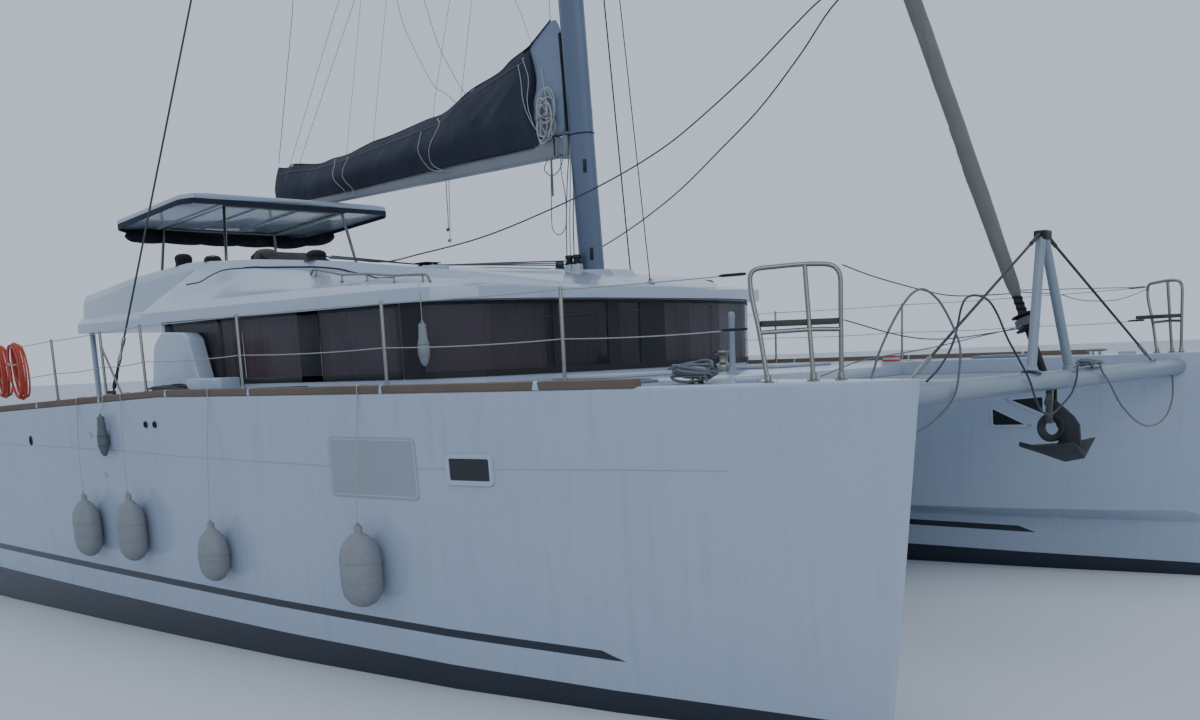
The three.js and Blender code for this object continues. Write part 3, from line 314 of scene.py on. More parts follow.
# Oiled teak, gone grey brown in the sun, sawn along the boat
TEAK = Finish("weathered_teak", "#6f5f52", "#564a40", 0.72, Pattern.GRAIN, 9.0, 0.6)
# Knotless polyester webbing of the trampolines
NETTING = Finish("knotless_netting", "#a2a9b0", "#868d94", 0.85, Pattern.STRANDED, 8.0, 0.5)
# Blow-moulded PVC of the fenders: dull white with scuffs, drawn in mid grey as painted shade, since the fenders hang in
# shade
FENDER_VINYL_AND_SHADE = Finish("blow_moulded_pvc_painted_shade", "#8c9094", "#787c81", 0.5, Pattern.SPRAYED, 40.0, 0.3, drift_mm=160.0)
# Self-polishing antifouling: dull navy, rolled on
ANTIFOULING = Finish("rolled_antifouling", "#262c3c", "#1c2130", 0.85, Pattern.SPRAYED, 8.0, 0.3)
# Manganese bronze, cast and then ground bright
BRONZE = Finish("cast_bronze", "#a98a55", "#86693c", 0.35, Pattern.CAST, 14.0, 0.1, metallic=1.0)
RED_PLASTIC = Finish("red_moulded_plastic", "#c24a34", "#a53a28", 0.4, Pattern.SPRAYED, 10.0, 0.1)
# Shore cable: orange-red PVC, dulled by the sun
CABLE_RED = Finish("orange_pvc_cable", "#c85240", "#a8402f", 0.5, Pattern.SPRAYED, 12.0, 0.1)
# Green-brown mildew on the crown of the helm's cover
FADED_CANVAS = Finish("faded_canvas", "#3c4038", "#55573f", 0.92, Pattern.WOVEN, 8.0, 0.3, sheen=0.05, drift_mm=220.0)


# Shaping


def choose(*chosen: Piece) -> None:
    """Selects only these objects and makes the first one active."""
    bpy.ops.object.select_all(action="DESELECT")
    for piece in chosen:
        piece.select_set(True)
    bpy.context.view_layer.objects.active = chosen[0]


@contextmanager
def editing(piece: Piece, pick: Callable[[bmesh.types.BMFace], bool] | None = None) -> Iterator[None]:
    """Opens edit mode on one piece.

    Args:
        piece: The mesh object.
        pick: Says which faces are selected. All are where it is left out.
    """
    choose(piece)
    bpy.ops.object.mode_set(mode="EDIT")
    bpy.ops.mesh.select_mode(type="FACE")
    bpy.ops.mesh.select_all(action="DESELECT" if pick else "SELECT")
    if pick:
        shape = bmesh.from_edit_mesh(piece.data)
        for face in shape.faces:
            face.select_set(pick(face))
        bmesh.update_edit_mesh(piece.data)
    try:
        yield
    finally:
        bpy.ops.object.mode_set(mode="OBJECT")


def apply_modifier(piece: Piece, kind: str, **settings: object) -> None:
    """Adds a modifier with its settings and applies it."""
    choose(piece)
    modifier = piece.modifiers.new(kind.title(), kind)
    for name, value in settings.items():
        setattr(modifier, name, value)
    bpy.ops.object.modifier_apply(modifier=modifier.name)


def settle(piece: Piece, angle: float = 35.0) -> Piece:
    """Puts the piece's place into its mesh and smooths the edges that are flatter than the angle."""
    choose(piece)
    bpy.ops.object.transform_apply(location=True, rotation=True, scale=True)
    bpy.ops.object.shade_smooth_by_angle(angle=math.radians(angle))
    return piece


def named(piece: Piece, name: str) -> Piece:
    """Names the object and its mesh."""
    piece.name = name
    piece.data.name = name
    return piece


def meshed(name: str, points: Sequence[Sequence[float]], faces: Sequence[Sequence[int]],
           edges: Sequence[Sequence[int]] = ()) -> Piece:
    """Makes a new mesh object from points and faces."""
    data = bpy.data.meshes.new(name)
    data.from_pydata([tuple(p) for p in points], list(edges), [tuple(f) for f in faces])
    piece = bpy.data.objects.new(name, data)
    bpy.context.collection.objects.link(piece)
    return piece


def outward(piece: Piece) -> Piece:
    """Merges doubles and turns every face outward."""
    with editing(piece):
        bpy.ops.mesh.remove_doubles(threshold=0.00002)
        bpy.ops.mesh.normals_make_consistent(inside=False)
    return piece


def slab(name: str, low: Point, high: Point, edge: float = 0.004, segments: int = 2) -> Piece:
    """A block between two corners with its edges rounded."""
    centre = [(a + b) / 2 for a, b in zip(low, high)]
    bpy.ops.mesh.primitive_cube_add(size=1.0, location=centre)
    piece = named(bpy.context.active_object, name)
    piece.scale = [b - a for a, b in zip(low, high)]
    choose(piece)
    bpy.ops.object.transform_apply(location=True, rotation=True, scale=True)
    if edge:
        with editing(piece):
            bpy.ops.mesh.bevel(offset=edge, segments=segments, affect="EDGES")
    return settle(piece, 50)


def plate(name: str, outline: Sequence[Point], depth: Point, edge: float = 0.002, segments: int = 2) -> Piece:
    """A flat outline pushed out along depth, with rounded edges."""
    piece = meshed(name, outline, [range(len(outline))])
    with editing(piece):
        bpy.ops.mesh.extrude_region_move(TRANSFORM_OT_translate={"value": depth})
        bpy.ops.mesh.select_all(action="SELECT")
        bpy.ops.mesh.normals_make_consistent(inside=False)
    if edge:
        apply_modifier(piece, "BEVEL", width=edge, segments=segments, limit_method="ANGLE", angle_limit=math.radians(50))
    return settle(piece, 40)


def spun(name: str, profile: Sequence[tuple[float, float]], base: Point, axis: Point = (0, 0, 1),
         steps: int = 24) -> Piece:
    """Spins a profile of radius and height round an axis that starts at base."""
    piece = meshed(name, [(r, 0.0, h) for r, h in profile], [], [(k, k + 1) for k in range(len(profile) - 1)])
    choose(piece)
    bpy.ops.object.mode_set(mode="EDIT")
    bpy.ops.mesh.select_all(action="SELECT")
    bpy.ops.mesh.spin(steps=steps, angle=2 * math.pi, center=(0, 0, 0), axis=(0, 0, 1))
    bpy.ops.mesh.select_all(action="SELECT")
    bpy.ops.mesh.remove_doubles(threshold=0.00005)
    bpy.ops.mesh.normals_make_consistent(inside=False)
    bpy.ops.object.mode_set(mode="OBJECT")
    turn = Vector((0, 0, 1)).rotation_difference(Vector(axis).normalized())
    piece.data.transform(Matrix.Translation(base) @ turn.to_matrix().to_4x4())
    return settle(piece, 40)


def rounded_path(points: Sequence[Point], radius: float, steps: int = 5) -> list[Vector]:
    """Replaces each inner corner of a path by an arc of about the radius."""
    corners = [Vector(p) for p in points]
    path = [corners[0]]
    for before, corner, after in zip(corners, corners[1:], corners[2:]):
        back, ahead = (before - corner), (after - corner)
        reach = min(radius, back.length * 0.45, ahead.length * 0.45)
        start, end = corner + back.normalized() * reach, corner + ahead.normalized() * reach
        for k in range(steps + 1):
            t = k / steps
            path.append(start * (1 - t) ** 2 + corner * 2 * t * (1 - t) + end * t ** 2)
    path.append(corners[-1])
    return path


def rounded_loop(points: Sequence[Point], radius: float, steps: int = 5) -> list[Vector]:
    """Replaces each corner of a closed outline by an arc of about the radius."""
    corners = [Vector(p) for p in points]
    middles = [(a + b) / 2 for a, b in zip(corners, corners[1:] + corners[:1])]
    path: list[Vector] = []
    for k, corner in enumerate(corners):
        path += rounded_path([middles[k - 1], corner, middles[k]], radius, steps)[1:-1]
    return path


def reach(path: Sequence[Vector | Point]) -> float:
    """Measures a path."""
    return sum((Vector(a) - Vector(b)).length for a, b in zip(path, path[1:]))


def bevel_edges(piece: Piece, pick: Callable[[bmesh.types.BMEdge], bool], width: float, segments: int) -> None:
    """Rounds only the picked edges of a piece."""
    choose(piece)
    bpy.ops.object.mode_set(mode="EDIT")
    bpy.ops.mesh.select_mode(type="EDGE")
    bpy.ops.mesh.select_all(action="DESELECT")
    shape = bmesh.from_edit_mesh(piece.data)
    for edge in shape.edges:
        if len(edge.link_faces) == 2 and pick(edge):
            edge.select_set(True)
    bmesh.update_edit_mesh(piece.data)
    bpy.ops.mesh.bevel(offset=width, segments=segments, affect="EDGES")
    bpy.ops.object.mode_set(mode="OBJECT")


def curved_path(points: Sequence[Point], steps: int = 8) -> list[Vector]:
    """A smooth path through the points, in even short steps."""
    knots = [Vector(p) for p in points]
    knots = [2 * knots[0] - knots[1], *knots, 2 * knots[-1] - knots[-2]]
    path = []
    for a, b, c, d in zip(knots, knots[1:], knots[2:], knots[3:]):
        for k in range(steps):
            t = k / steps
            path.append(0.5 * (2 * b + (c - a) * t + (2 * a - 5 * b + 4 * c - d) * t * t
                               + (3 * b - a - 3 * c + d) * t ** 3))
    return [*path, knots[-2]]


def tube(name: str, path: Sequence[Vector | Point], radius: float, sides: int = 10, cyclic: bool = False) -> Piece:
    """A round tube along a path, made a mesh with closed ends."""
    data = bpy.data.curves.new(name, "CURVE")
    data.dimensions = "3D"
    data.bevel_depth = radius
    data.bevel_resolution = max(0, sides // 2 - 2)
    data.use_fill_caps = not cyclic
    spline = data.splines.new("POLY")
    spline.points.add(len(path) - 1)
    for knot, point in zip(spline.points, path):
        knot.co = (*point, 1.0)
    spline.use_cyclic_u = cyclic
    piece = bpy.data.objects.new(name, data)
    bpy.context.collection.objects.link(piece)
    choose(piece)
    bpy.ops.object.convert(target="MESH")
    return settle(named(bpy.context.active_object, name), 50)


def joined(name: str, parts: Sequence[Piece]) -> Piece:
    """Joins several pieces into one object."""
    choose(*parts)
    bpy.ops.object.join()
    return named(bpy.context.active_object, name)


def skin(name: str, rings: Sequence[Sequence[Sequence[float]]], closed: bool = True, capped: bool = True) -> Piece:
    """Joins equal rings of points, in order, into one surface.

    Args:
        name: The piece's name.
        rings: Rings of points with equal counts.
        closed: Each ring goes all the way round.
        capped: The first and the last ring are filled.
    """
    count = len(rings[0])
    faces: list[Sequence[int]] = []
    for r in range(len(rings) - 1):
        for k in range(count if closed else count - 1):
            a, b = r * count + k, r * count + (k + 1) % count
            faces.append((a, b, b + count, a + count))
    if closed and capped:
        faces.append(tuple(range(count)))
        faces.append(tuple(range((len(rings) - 1) * count, len(rings) * count)))
    piece = meshed(name, [p for ring in rings for p in ring], faces)
    return outward(piece) if closed and capped else piece


def copied(name: str, node: str, edge: float = 0.0, angle: float = 35.0, segments: int = 2) -> Piece:
    """Copies a solid of the frame, merges it and rounds its sharp edges.

    Args:
        name: The new piece's name.
        node: The frame's node.
        edge: Width of the rounding in metres.
        angle: Edges sharper than this are rounded and stay crisp, in degrees.
        segments: Steps across the rounding.

    Returns:
        The new piece, which stands for the node.
    """
    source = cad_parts[node]
    piece = bpy.data.objects.new(name, source.data.copy())
    bpy.context.collection.objects.link(piece)
    named(piece, name)
    piece.data.materials.clear()
    with editing(piece):
        bpy.ops.mesh.remove_doubles(threshold=0.00005)
        bpy.ops.mesh.dissolve_limited(angle_limit=math.radians(0.4))
    if edge:
        apply_modifier(
            piece, "BEVEL", width=edge, segments=segments, limit_method="ANGLE", angle_limit=math.radians(angle))
    choose(piece)
    bpy.ops.object.shade_smooth_by_angle(angle=math.radians(angle))
    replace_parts(piece, node)
    return piece


@lru_cache(maxsize=None)
def surface(node: str) -> BVHTree:
    """Prepares a solid of the frame for rays."""
    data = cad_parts[node].data
    return BVHTree.FromPolygons([v.co for v in data.vertices], [p.vertices for p in data.polygons])


def touch(node: str, start: Point, way: Point) -> Vector:
    """Finds where a ray meets a solid of the frame.

    Args:
        node: The frame's node.
        start: Where the ray starts.
        way: Its direction.

    Returns:
        The point that it meets, or its start where it meets nothing.
    """
    place = surface(node).ray_cast(Vector(start), Vector(way).normalized())[0]
    return place if place else Vector(start)


@dataclass
class Assembly:
    """What every sub-assembly of the boat has: a body to ride on and a way to dress pieces."""

    body: str = ROOT

    def dress(self, piece: Piece, finish: Finish, slot: str, body: str | None = None, rides: bool = True) -> Piece:
        """Gives a piece its material and its body, and reports it."""
        piece.data.materials.clear()
        piece.data.materials.append(finish.build())
        if rides:
            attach(piece, body or self.body)
        LOG.info("%s: %s", piece.name, finish.name)
        return piece

    def coat(self, finish: Finish, *nodes: str) -> None:
        """Gives solids of the frame that stay as they are a better material."""
        material = finish.build()
        for node in nodes:
            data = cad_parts[node].data
            data.materials.clear()
            data.materials.append(material)
            LOG.info("%s: %s", node, finish.name)

    def rope(
        self, name: str, points: Sequence[Point | Vector], diameter: float, finish: Finish, free: bool = True,
        lay: str = "hanging", far_end: str = "object", steps: int = 6, body: str | None = None,
        pieces: Sequence[Piece] = (), straight: bool = False, rides: bool = True,
    ) -> Piece:
        """Lays a rope or a wire along a path through the points.

        Args:
            name: The piece's name.
            points: Where it runs, from its start to its end.
            diameter: Its thickness in metres.
            finish: Its material.
            free: A free rope rather than taut rigging; not used.
            steps: Steps between two points.
            body: The body that it rides on, where that isn't the assembly's own.
            pieces: What else hangs on it; not used.
            straight: The path goes straight from point to point.
            rides: False for a rope that bends between two bodies; it is then attached to no body.

        Returns:
            The rope.
        """
        path = [Vector(p) for p in points] if straight else curved_path(points, steps)
        slot = "wire" if finish in (WIRE, SLEEVED_WIRE) else "netting"
        piece = self.dress(tube(name, path, diameter / 2, 8), finish, slot, body, rides)
        return piece

    def refine(self, node: str, finish: Finish, slot: str, edge: float = 0.004, angle: float = 35.0,
               segments: int = 2, body: str | None = None) -> Piece:
        """Stands a copy with rounded edges in for a solid and dresses it."""
        return self.dress(copied(node + "_dressed", node, edge, angle, segments), finish, slot, body)


@dataclass
class Studio:
    """The camera, the light and the floor at the water's level."""

    eye: Point = (10.409, -9.646, 2.377)
    azimuth: float = 41.193
    pitch: float = -10.729
    roll: float = -2.312
    focal_px: float = 1261.611
    principal_px: tuple[float, float] = (632.59, 591.05)
    image_px: tuple[int, int] = (1200, 720)
    sensor_mm: float = 36.0

    def place_camera(self) -> None:
        """Sets the camera to the photograph's viewpoint, with its shifted centre."""
        a, p, r = (math.radians(v) for v in (self.azimuth, self.pitch, self.roll))
        ahead = Vector((-math.sin(a) * math.cos(p), math.cos(a) * math.cos(p), math.sin(p)))
        level = Vector((math.cos(a), math.sin(a), 0.0))
        upward = level.cross(ahead)
        right = level * math.cos(r) + upward * math.sin(r)
        top = -level * math.sin(r) + upward * math.cos(r)
        data = bpy.data.cameras.new("camera")
        data.sensor_width = self.sensor_mm
        width, height = self.image_px
        data.lens = self.focal_px / width * self.sensor_mm
        data.shift_x = (width / 2 - self.principal_px[0]) / width
        data.shift_y = (self.principal_px[1] - height / 2) / width
        data.clip_end = 500
        camera = bpy.data.objects.new("camera", data)
        camera.matrix_world = Matrix((
            (right.x, top.x, -ahead.x, self.eye[0]),
            (right.y, top.y, -ahead.y, self.eye[1]),
            (right.z, top.z, -ahead.z, self.eye[2]),
            (0, 0, 0, 1),
        ))
        bpy.context.collection.objects.link(camera)
        bpy.context.scene.camera = camera

    def light(self) -> None:
        """Lays the pale floor and hangs the soft lamps and the even sky."""
        bpy.ops.mesh.primitive_plane_add(size=600, location=(0, 0, 0))
        floor = named(bpy.context.active_object, "floor")
        floor.data.materials.append(
            Finish("pale_floor", "#cdd2d6", "#c7ccd1", 0.9, Pattern.SPRAYED, 900.0, 0.01, drift_mm=9000.0).build())
        world = bpy.data.worlds.new("sky")
        world.use_nodes = True
        sky = world.node_tree.nodes["Background"].inputs
        sky["Color"].default_value = linear("#d3e0f2")
        sky["Strength"].default_value = 0.92
        bpy.context.scene.world = world
        for name, place, size, power in (
            ("overhead", (-6.0, 4.0, 26.0), 22.0, 1200.0),
            ("bow_side", (22.0, -16.0, 12.0), 14.0, 900.0),
        ):
            lamp = bpy.data.lights.new(name, "AREA")
            lamp.size = size
            lamp.energy = power
            holder = bpy.data.objects.new(name, lamp)
            holder.location = place
            holder.rotation_euler = (-Vector(place)).to_track_quat("-Z", "Y").to_euler()
            bpy.context.collection.objects.link(holder)


@dataclass
class BowLines(Assembly):
    """The slack ropes of the bow, which hang between the pulpits and over the crossbeam."""

    rail_mm: float = 8.0
    dock_mm: float = 16.0

    def build(self) -> None:
        """Hangs every rope of the bow."""
        rail, dock = self.rail_mm / 1000, self.dock_mm / 1000
        self.rope("bow_line_upper_starboard", [
            (6.372, -3.046, 2.83), (6.345, -2.735, 2.786), (6.33, -2.44, 2.75), (6.301, -1.84, 2.689),
            (6.281, -1.435, 2.668), (6.254, -0.884, 2.678), (6.19, -0.3, 2.70), (6.105, -0.02, 2.725)],
            rail, DARK_ROPE)
        self.rope("bow_line_lower_starboard", [
            (6.386, -3.05, 2.512), (6.324, -2.39, 2.427), (6.281, -1.89, 2.386), (6.234, -1.338, 2.381),
            (6.205, -0.725, 2.407), (6.186, -0.15, 2.437), (6.170, -0.05, 2.445)], rail, DARK_ROPE)
        self.rope("bow_line_taut_port", [(6.105, 0.02, 2.73), (5.96, 3.30, 2.80)], rail, GREY_ROPE, free=False)
        self.rope("bow_line_slack_port", [
            (6.108, 0.015, 2.715), (6.15, 0.65, 2.70), (6.121, 1.023, 2.67), (6.087, 1.46, 2.655),
            (6.036, 2.118, 2.662), (5.989, 2.729, 2.709), (5.95, 3.30, 2.785)], rail, GREY_ROPE)
        self.rope("furler_line", [
            (6.25, -3.10, 2.188), (6.20, -2.572, 2.262), (6.20, -2.0, 2.30), (6.20, -1.531, 2.33),
            (6.20, -0.971, 2.38), (6.19, -0.3, 2.436), (6.170, -0.06, 2.47)], rail, GREY_ROPE)
        self.rope("dock_loop_starboard", [
            (6.33, -2.72, 2.105), (6.32, -2.622, 2.177), (6.32, -2.543, 2.302), (6.32, -2.423, 2.437),
            (6.32, -2.321, 2.535), (6.32, -2.219, 2.615), (6.32, -2.114, 2.676), (6.32, -2.008, 2.703),
            (6.32, -1.921, 2.698), (6.33, -1.846, 2.667), (6.36, -1.788, 2.606), (6.42, -1.75, 2.47),
            (6.47, -1.735, 2.322), (6.47, -1.746, 2.153), (6.46, -1.772, 2.026), (6.44, -1.826, 1.944),
            (6.40, -1.937, 1.855), (6.36, -2.046, 1.799), (6.33, -2.25, 1.75), (6.31, -2.50, 1.77),
            (6.29, -2.72, 1.86), (6.27, -2.90, 2.00)], dock, GREY_ROPE)
        self.rope("dock_loop_middle", [
            (6.37, -2.008, 2.108), (6.38, -1.876, 2.178), (6.38, -1.741, 2.268), (6.38, -1.651, 2.361),
            (6.38, -1.592, 2.465), (6.38, -1.547, 2.571), (6.38, -1.482, 2.639), (6.38, -1.373, 2.665),
            (6.38, -1.225, 2.657), (6.38, -1.099, 2.619), (6.38, -0.968, 2.526), (6.39, -0.831, 2.367),
            (6.42, -0.718, 2.228), (6.46, -0.602, 2.061), (6.47, -0.53, 1.941), (6.47, -0.422, 1.836),
            (6.475, -0.315, 1.789), (6.48, -0.214, 1.785), (6.48, -0.073, 1.831), (6.48, 0.139, 1.918),
            (6.475, 0.246, 2.024), (6.45, 0.33, 2.11), (6.41, 0.43, 2.145), (6.38, 0.56, 2.13)], dock, DARK_ROPE)
        self.rope("dock_loop_port", [
            (6.40, 0.95, 2.13), (6.44, 0.83, 2.15), (6.465, 0.80, 2.077), (6.465, 0.999, 1.953),
            (6.465, 1.192, 1.811), (6.465, 1.426, 1.69), (6.465, 1.666, 1.60), (6.46, 1.951, 1.544),
            (6.46, 2.24, 1.553), (6.45, 2.49, 1.624), (6.43, 2.667, 1.761), (6.40, 2.75, 1.90),
            (6.35, 2.86, 2.02)], dock, GREY_ROPE)
        self.hank("beam_hank", (6.37, 0.80, 2.142), (0.0, 1.0, 0.0), 0.46, 0.038, GREY_ROPE)
        self.hank("mooring_hank_fore", (5.44, -3.31, 2.245), (0.8, -0.35, 0.0), 0.36, 0.080, GREY_ROPE)
        self.hank("mooring_hank_middle", (-0.20, -3.70, 2.210), (1.0, -0.05, 0.0), 0.50, 0.055, DARK_ROPE)

    def hank(self, name: str, centre: Point, way: Point, length: float, height: float, finish: Finish) -> None:
        """Lays a rope in a loose heap of loops, one over the other.

        Args:
            name: The piece's name.
            centre: The heap's middle.
            way: Its long direction.
            length: Its length.
            height: Half its height.
            finish: The rope's material.
        """
        along = Vector(way).normalized()
        across = Vector((-along.y, along.x, 0.0))
        turns, steps = 7, 14
        points = []
        for k in range(turns * steps + 1):
            angle = 2 * math.pi * k / steps
            turn = k / steps
            wide = length / 2 * (0.82 + 0.14 * math.sin(2.4 * turn))
            lift = height * (0.55 * math.sin(angle * 0.5 + turn) + 0.35 * math.sin(1.7 * turn))
            spot = Vector(centre) + along * wide * math.cos(angle) + across * 0.085 * math.sin(angle + 0.5 * turn)
            # The heap falls off towards its ends, so no loop stands on its own
            points.append(spot + Vector((0, 0, lift * (1 - 0.45 * math.cos(angle) ** 2))))
        lead = points[0] + along * 0.03
        lead.z = centre[2] - height * 0.8
        self.rope(name, [lead, *points], 0.017, finish, lay="coiled", far_end="bare", steps=2)


@dataclass
class RoofLines(Assembly):
    """The headsail's sheets and the lines that lead over the roof."""

    def roof_z(self, x: float, y: float) -> float:
        """Finds the roof's height by a ray from above."""
        return touch("roof_moulding", (x, y, 3.9), (0, 0, -1)).z

    def build(self) -> None:
        """Leads the sheets to the winches and the halyards to the organiser."""
        self.rope("sheet_starboard", [
            (-0.715, -1.56, 3.470), (-0.63, -1.30, 3.44), (-0.483, -0.945, 3.412), (-0.008, -0.863, 3.456),
            (0.767, -0.728, 3.555), (1.499, -0.601, 3.721), (2.242, -0.472, 3.934), (2.834, -0.369, 4.162),
            (3.245, -0.298, 4.386), (3.734, -0.213, 4.702), (4.108, -0.148, 4.983), (4.377, -0.101, 5.173),
            (4.70, -0.06, 5.33), (4.995, -0.03, 5.42)], 0.014, DARK_ROPE)
        self.rope("sheet_port", [
            (-0.33, 1.565, self.roof_z(-0.33, 1.565) + 0.024), (0.10, 1.48, 3.50), (0.566, 1.366, 3.577),
            (1.287, 1.142, 3.75), (2.036, 0.909, 3.985), (2.715, 0.698, 4.271), (3.33, 0.507, 4.547),
            (3.89, 0.333, 4.889), (4.375, 0.182, 5.221), (4.995, 0.03, 5.40)], 0.014, DARK_ROPE)
        self.sheet_lead()
        self.organiser()
        self.handrails()

    def sheet_lead(self) -> None:
        """The block on the roof that the port sheet goes into."""
        z = self.roof_z(-0.36, 1.57)
        cheeks = [slab("cheek", (-0.40, y, z + 0.01), (-0.30, y + 0.008, z + 0.085), 0.003) for y in (1.545, 1.578)]
        sheave = spun("sheave", [(0, 0), (0.035, 0), (0.03, 0.011), (0.035, 0.022), (0, 0.022)],
                      (-0.35, 1.555, z + 0.05), (0, 1, 0))
        foot = slab("foot", (-0.41, 1.53, z - 0.02), (-0.29, 1.60, z + 0.012), 0.004)
        self.dress(joined("sheet_lead_port", [*cheeks, sheave, foot]), BLACK_ANODISED, "stainless")

    def organiser(self) -> None:
        """The organiser's sheaves and the lines between it, the mast's foot and the winches."""
        x, y = 0.62, -1.30
        z = self.roof_z(x, y)
        base = slab("base", (x - 0.19, y - 0.11, z - 0.03), (x + 0.19, y + 0.11, z + 0.018), 0.008)
        self.dress(named(base, "organiser_base"), GELCOAT_AND_SHADE, "gelcoat")
        plates = [slab("plate", (x - 0.085, y - 0.10, z + h), (x + 0.085, y + 0.10, z + h + 0.008), 0.003)
                  for h in (0.012, 0.046)]
        sheaves = [spun("sheave", [(0, 0), (0.026, 0), (0.021, 0.012), (0.026, 0.024), (0, 0.024)],
                        (x - 0.04 + 0.08 * (k % 2), y - 0.06 + 0.04 * k, z + 0.021)) for k in range(4)]
        self.dress(joined("organiser", [*plates, *sheaves]), BLACK_ANODISED, "stainless")
        for k, finish in enumerate((DARK_ROPE, GREY_ROPE, DARK_ROPE)):
            start = Vector((1.395, -0.155 - 0.03 * k, 3.300 - 0.022 * k))
            turn = Vector((x, y + 0.06 - 0.05 * k, z + 0.034))
            end = Vector((-0.55, -1.60 + 0.015 * k, self.roof_z(-0.50, -1.60) + 0.03 + 0.012 * k))
            middle = turn.lerp(end, 0.5)
            middle.z = max(middle.z, self.roof_z(middle.x, middle.y) + 0.012)
            self.rope(f"roof_line_{k + 1}", [start, turn.lerp(start, 0.5), turn, middle, end], 0.012, finish,
                      free=False, steps=5)

    def handrails(self) -> None:
        """The low rails along both sides of the roof, on small feet."""
        for end, side in (("starboard", -1), ("port", 1)):
            tops, parts = [], []
            for x, y in ((-0.38, 1.90), (0.10, 1.95), (0.55, 1.995), (1.00, 2.04), (1.45, 2.08)):
                z = self.roof_z(x, side * y)
                tops.append((x, side * y, z + 0.065))
                parts.append(tube("post", [(x, side * y, z - 0.02), (x, side * y, z + 0.065)], 0.009, 8))
                parts.append(spun("foot", [(0, 0), (0.022, 0), (0.018, 0.006), (0, 0.006)], (x, side * y, z - 0.001)))
            first, last = Vector(tops[0]), Vector(tops[-1])
            run = [first + Vector((-0.09, 0, -0.045)), first + Vector((-0.05, 0, 0.0)), *tops,
                   last + Vector((0.07, side * 0.01, -0.004)), last + Vector((0.11, side * 0.01, -0.07))]
            parts.append(tube("rail", rounded_path(run, 0.04), 0.0125, 10))
            self.dress(joined("roof_handrail_" + end, parts), STAINLESS, "stainless")


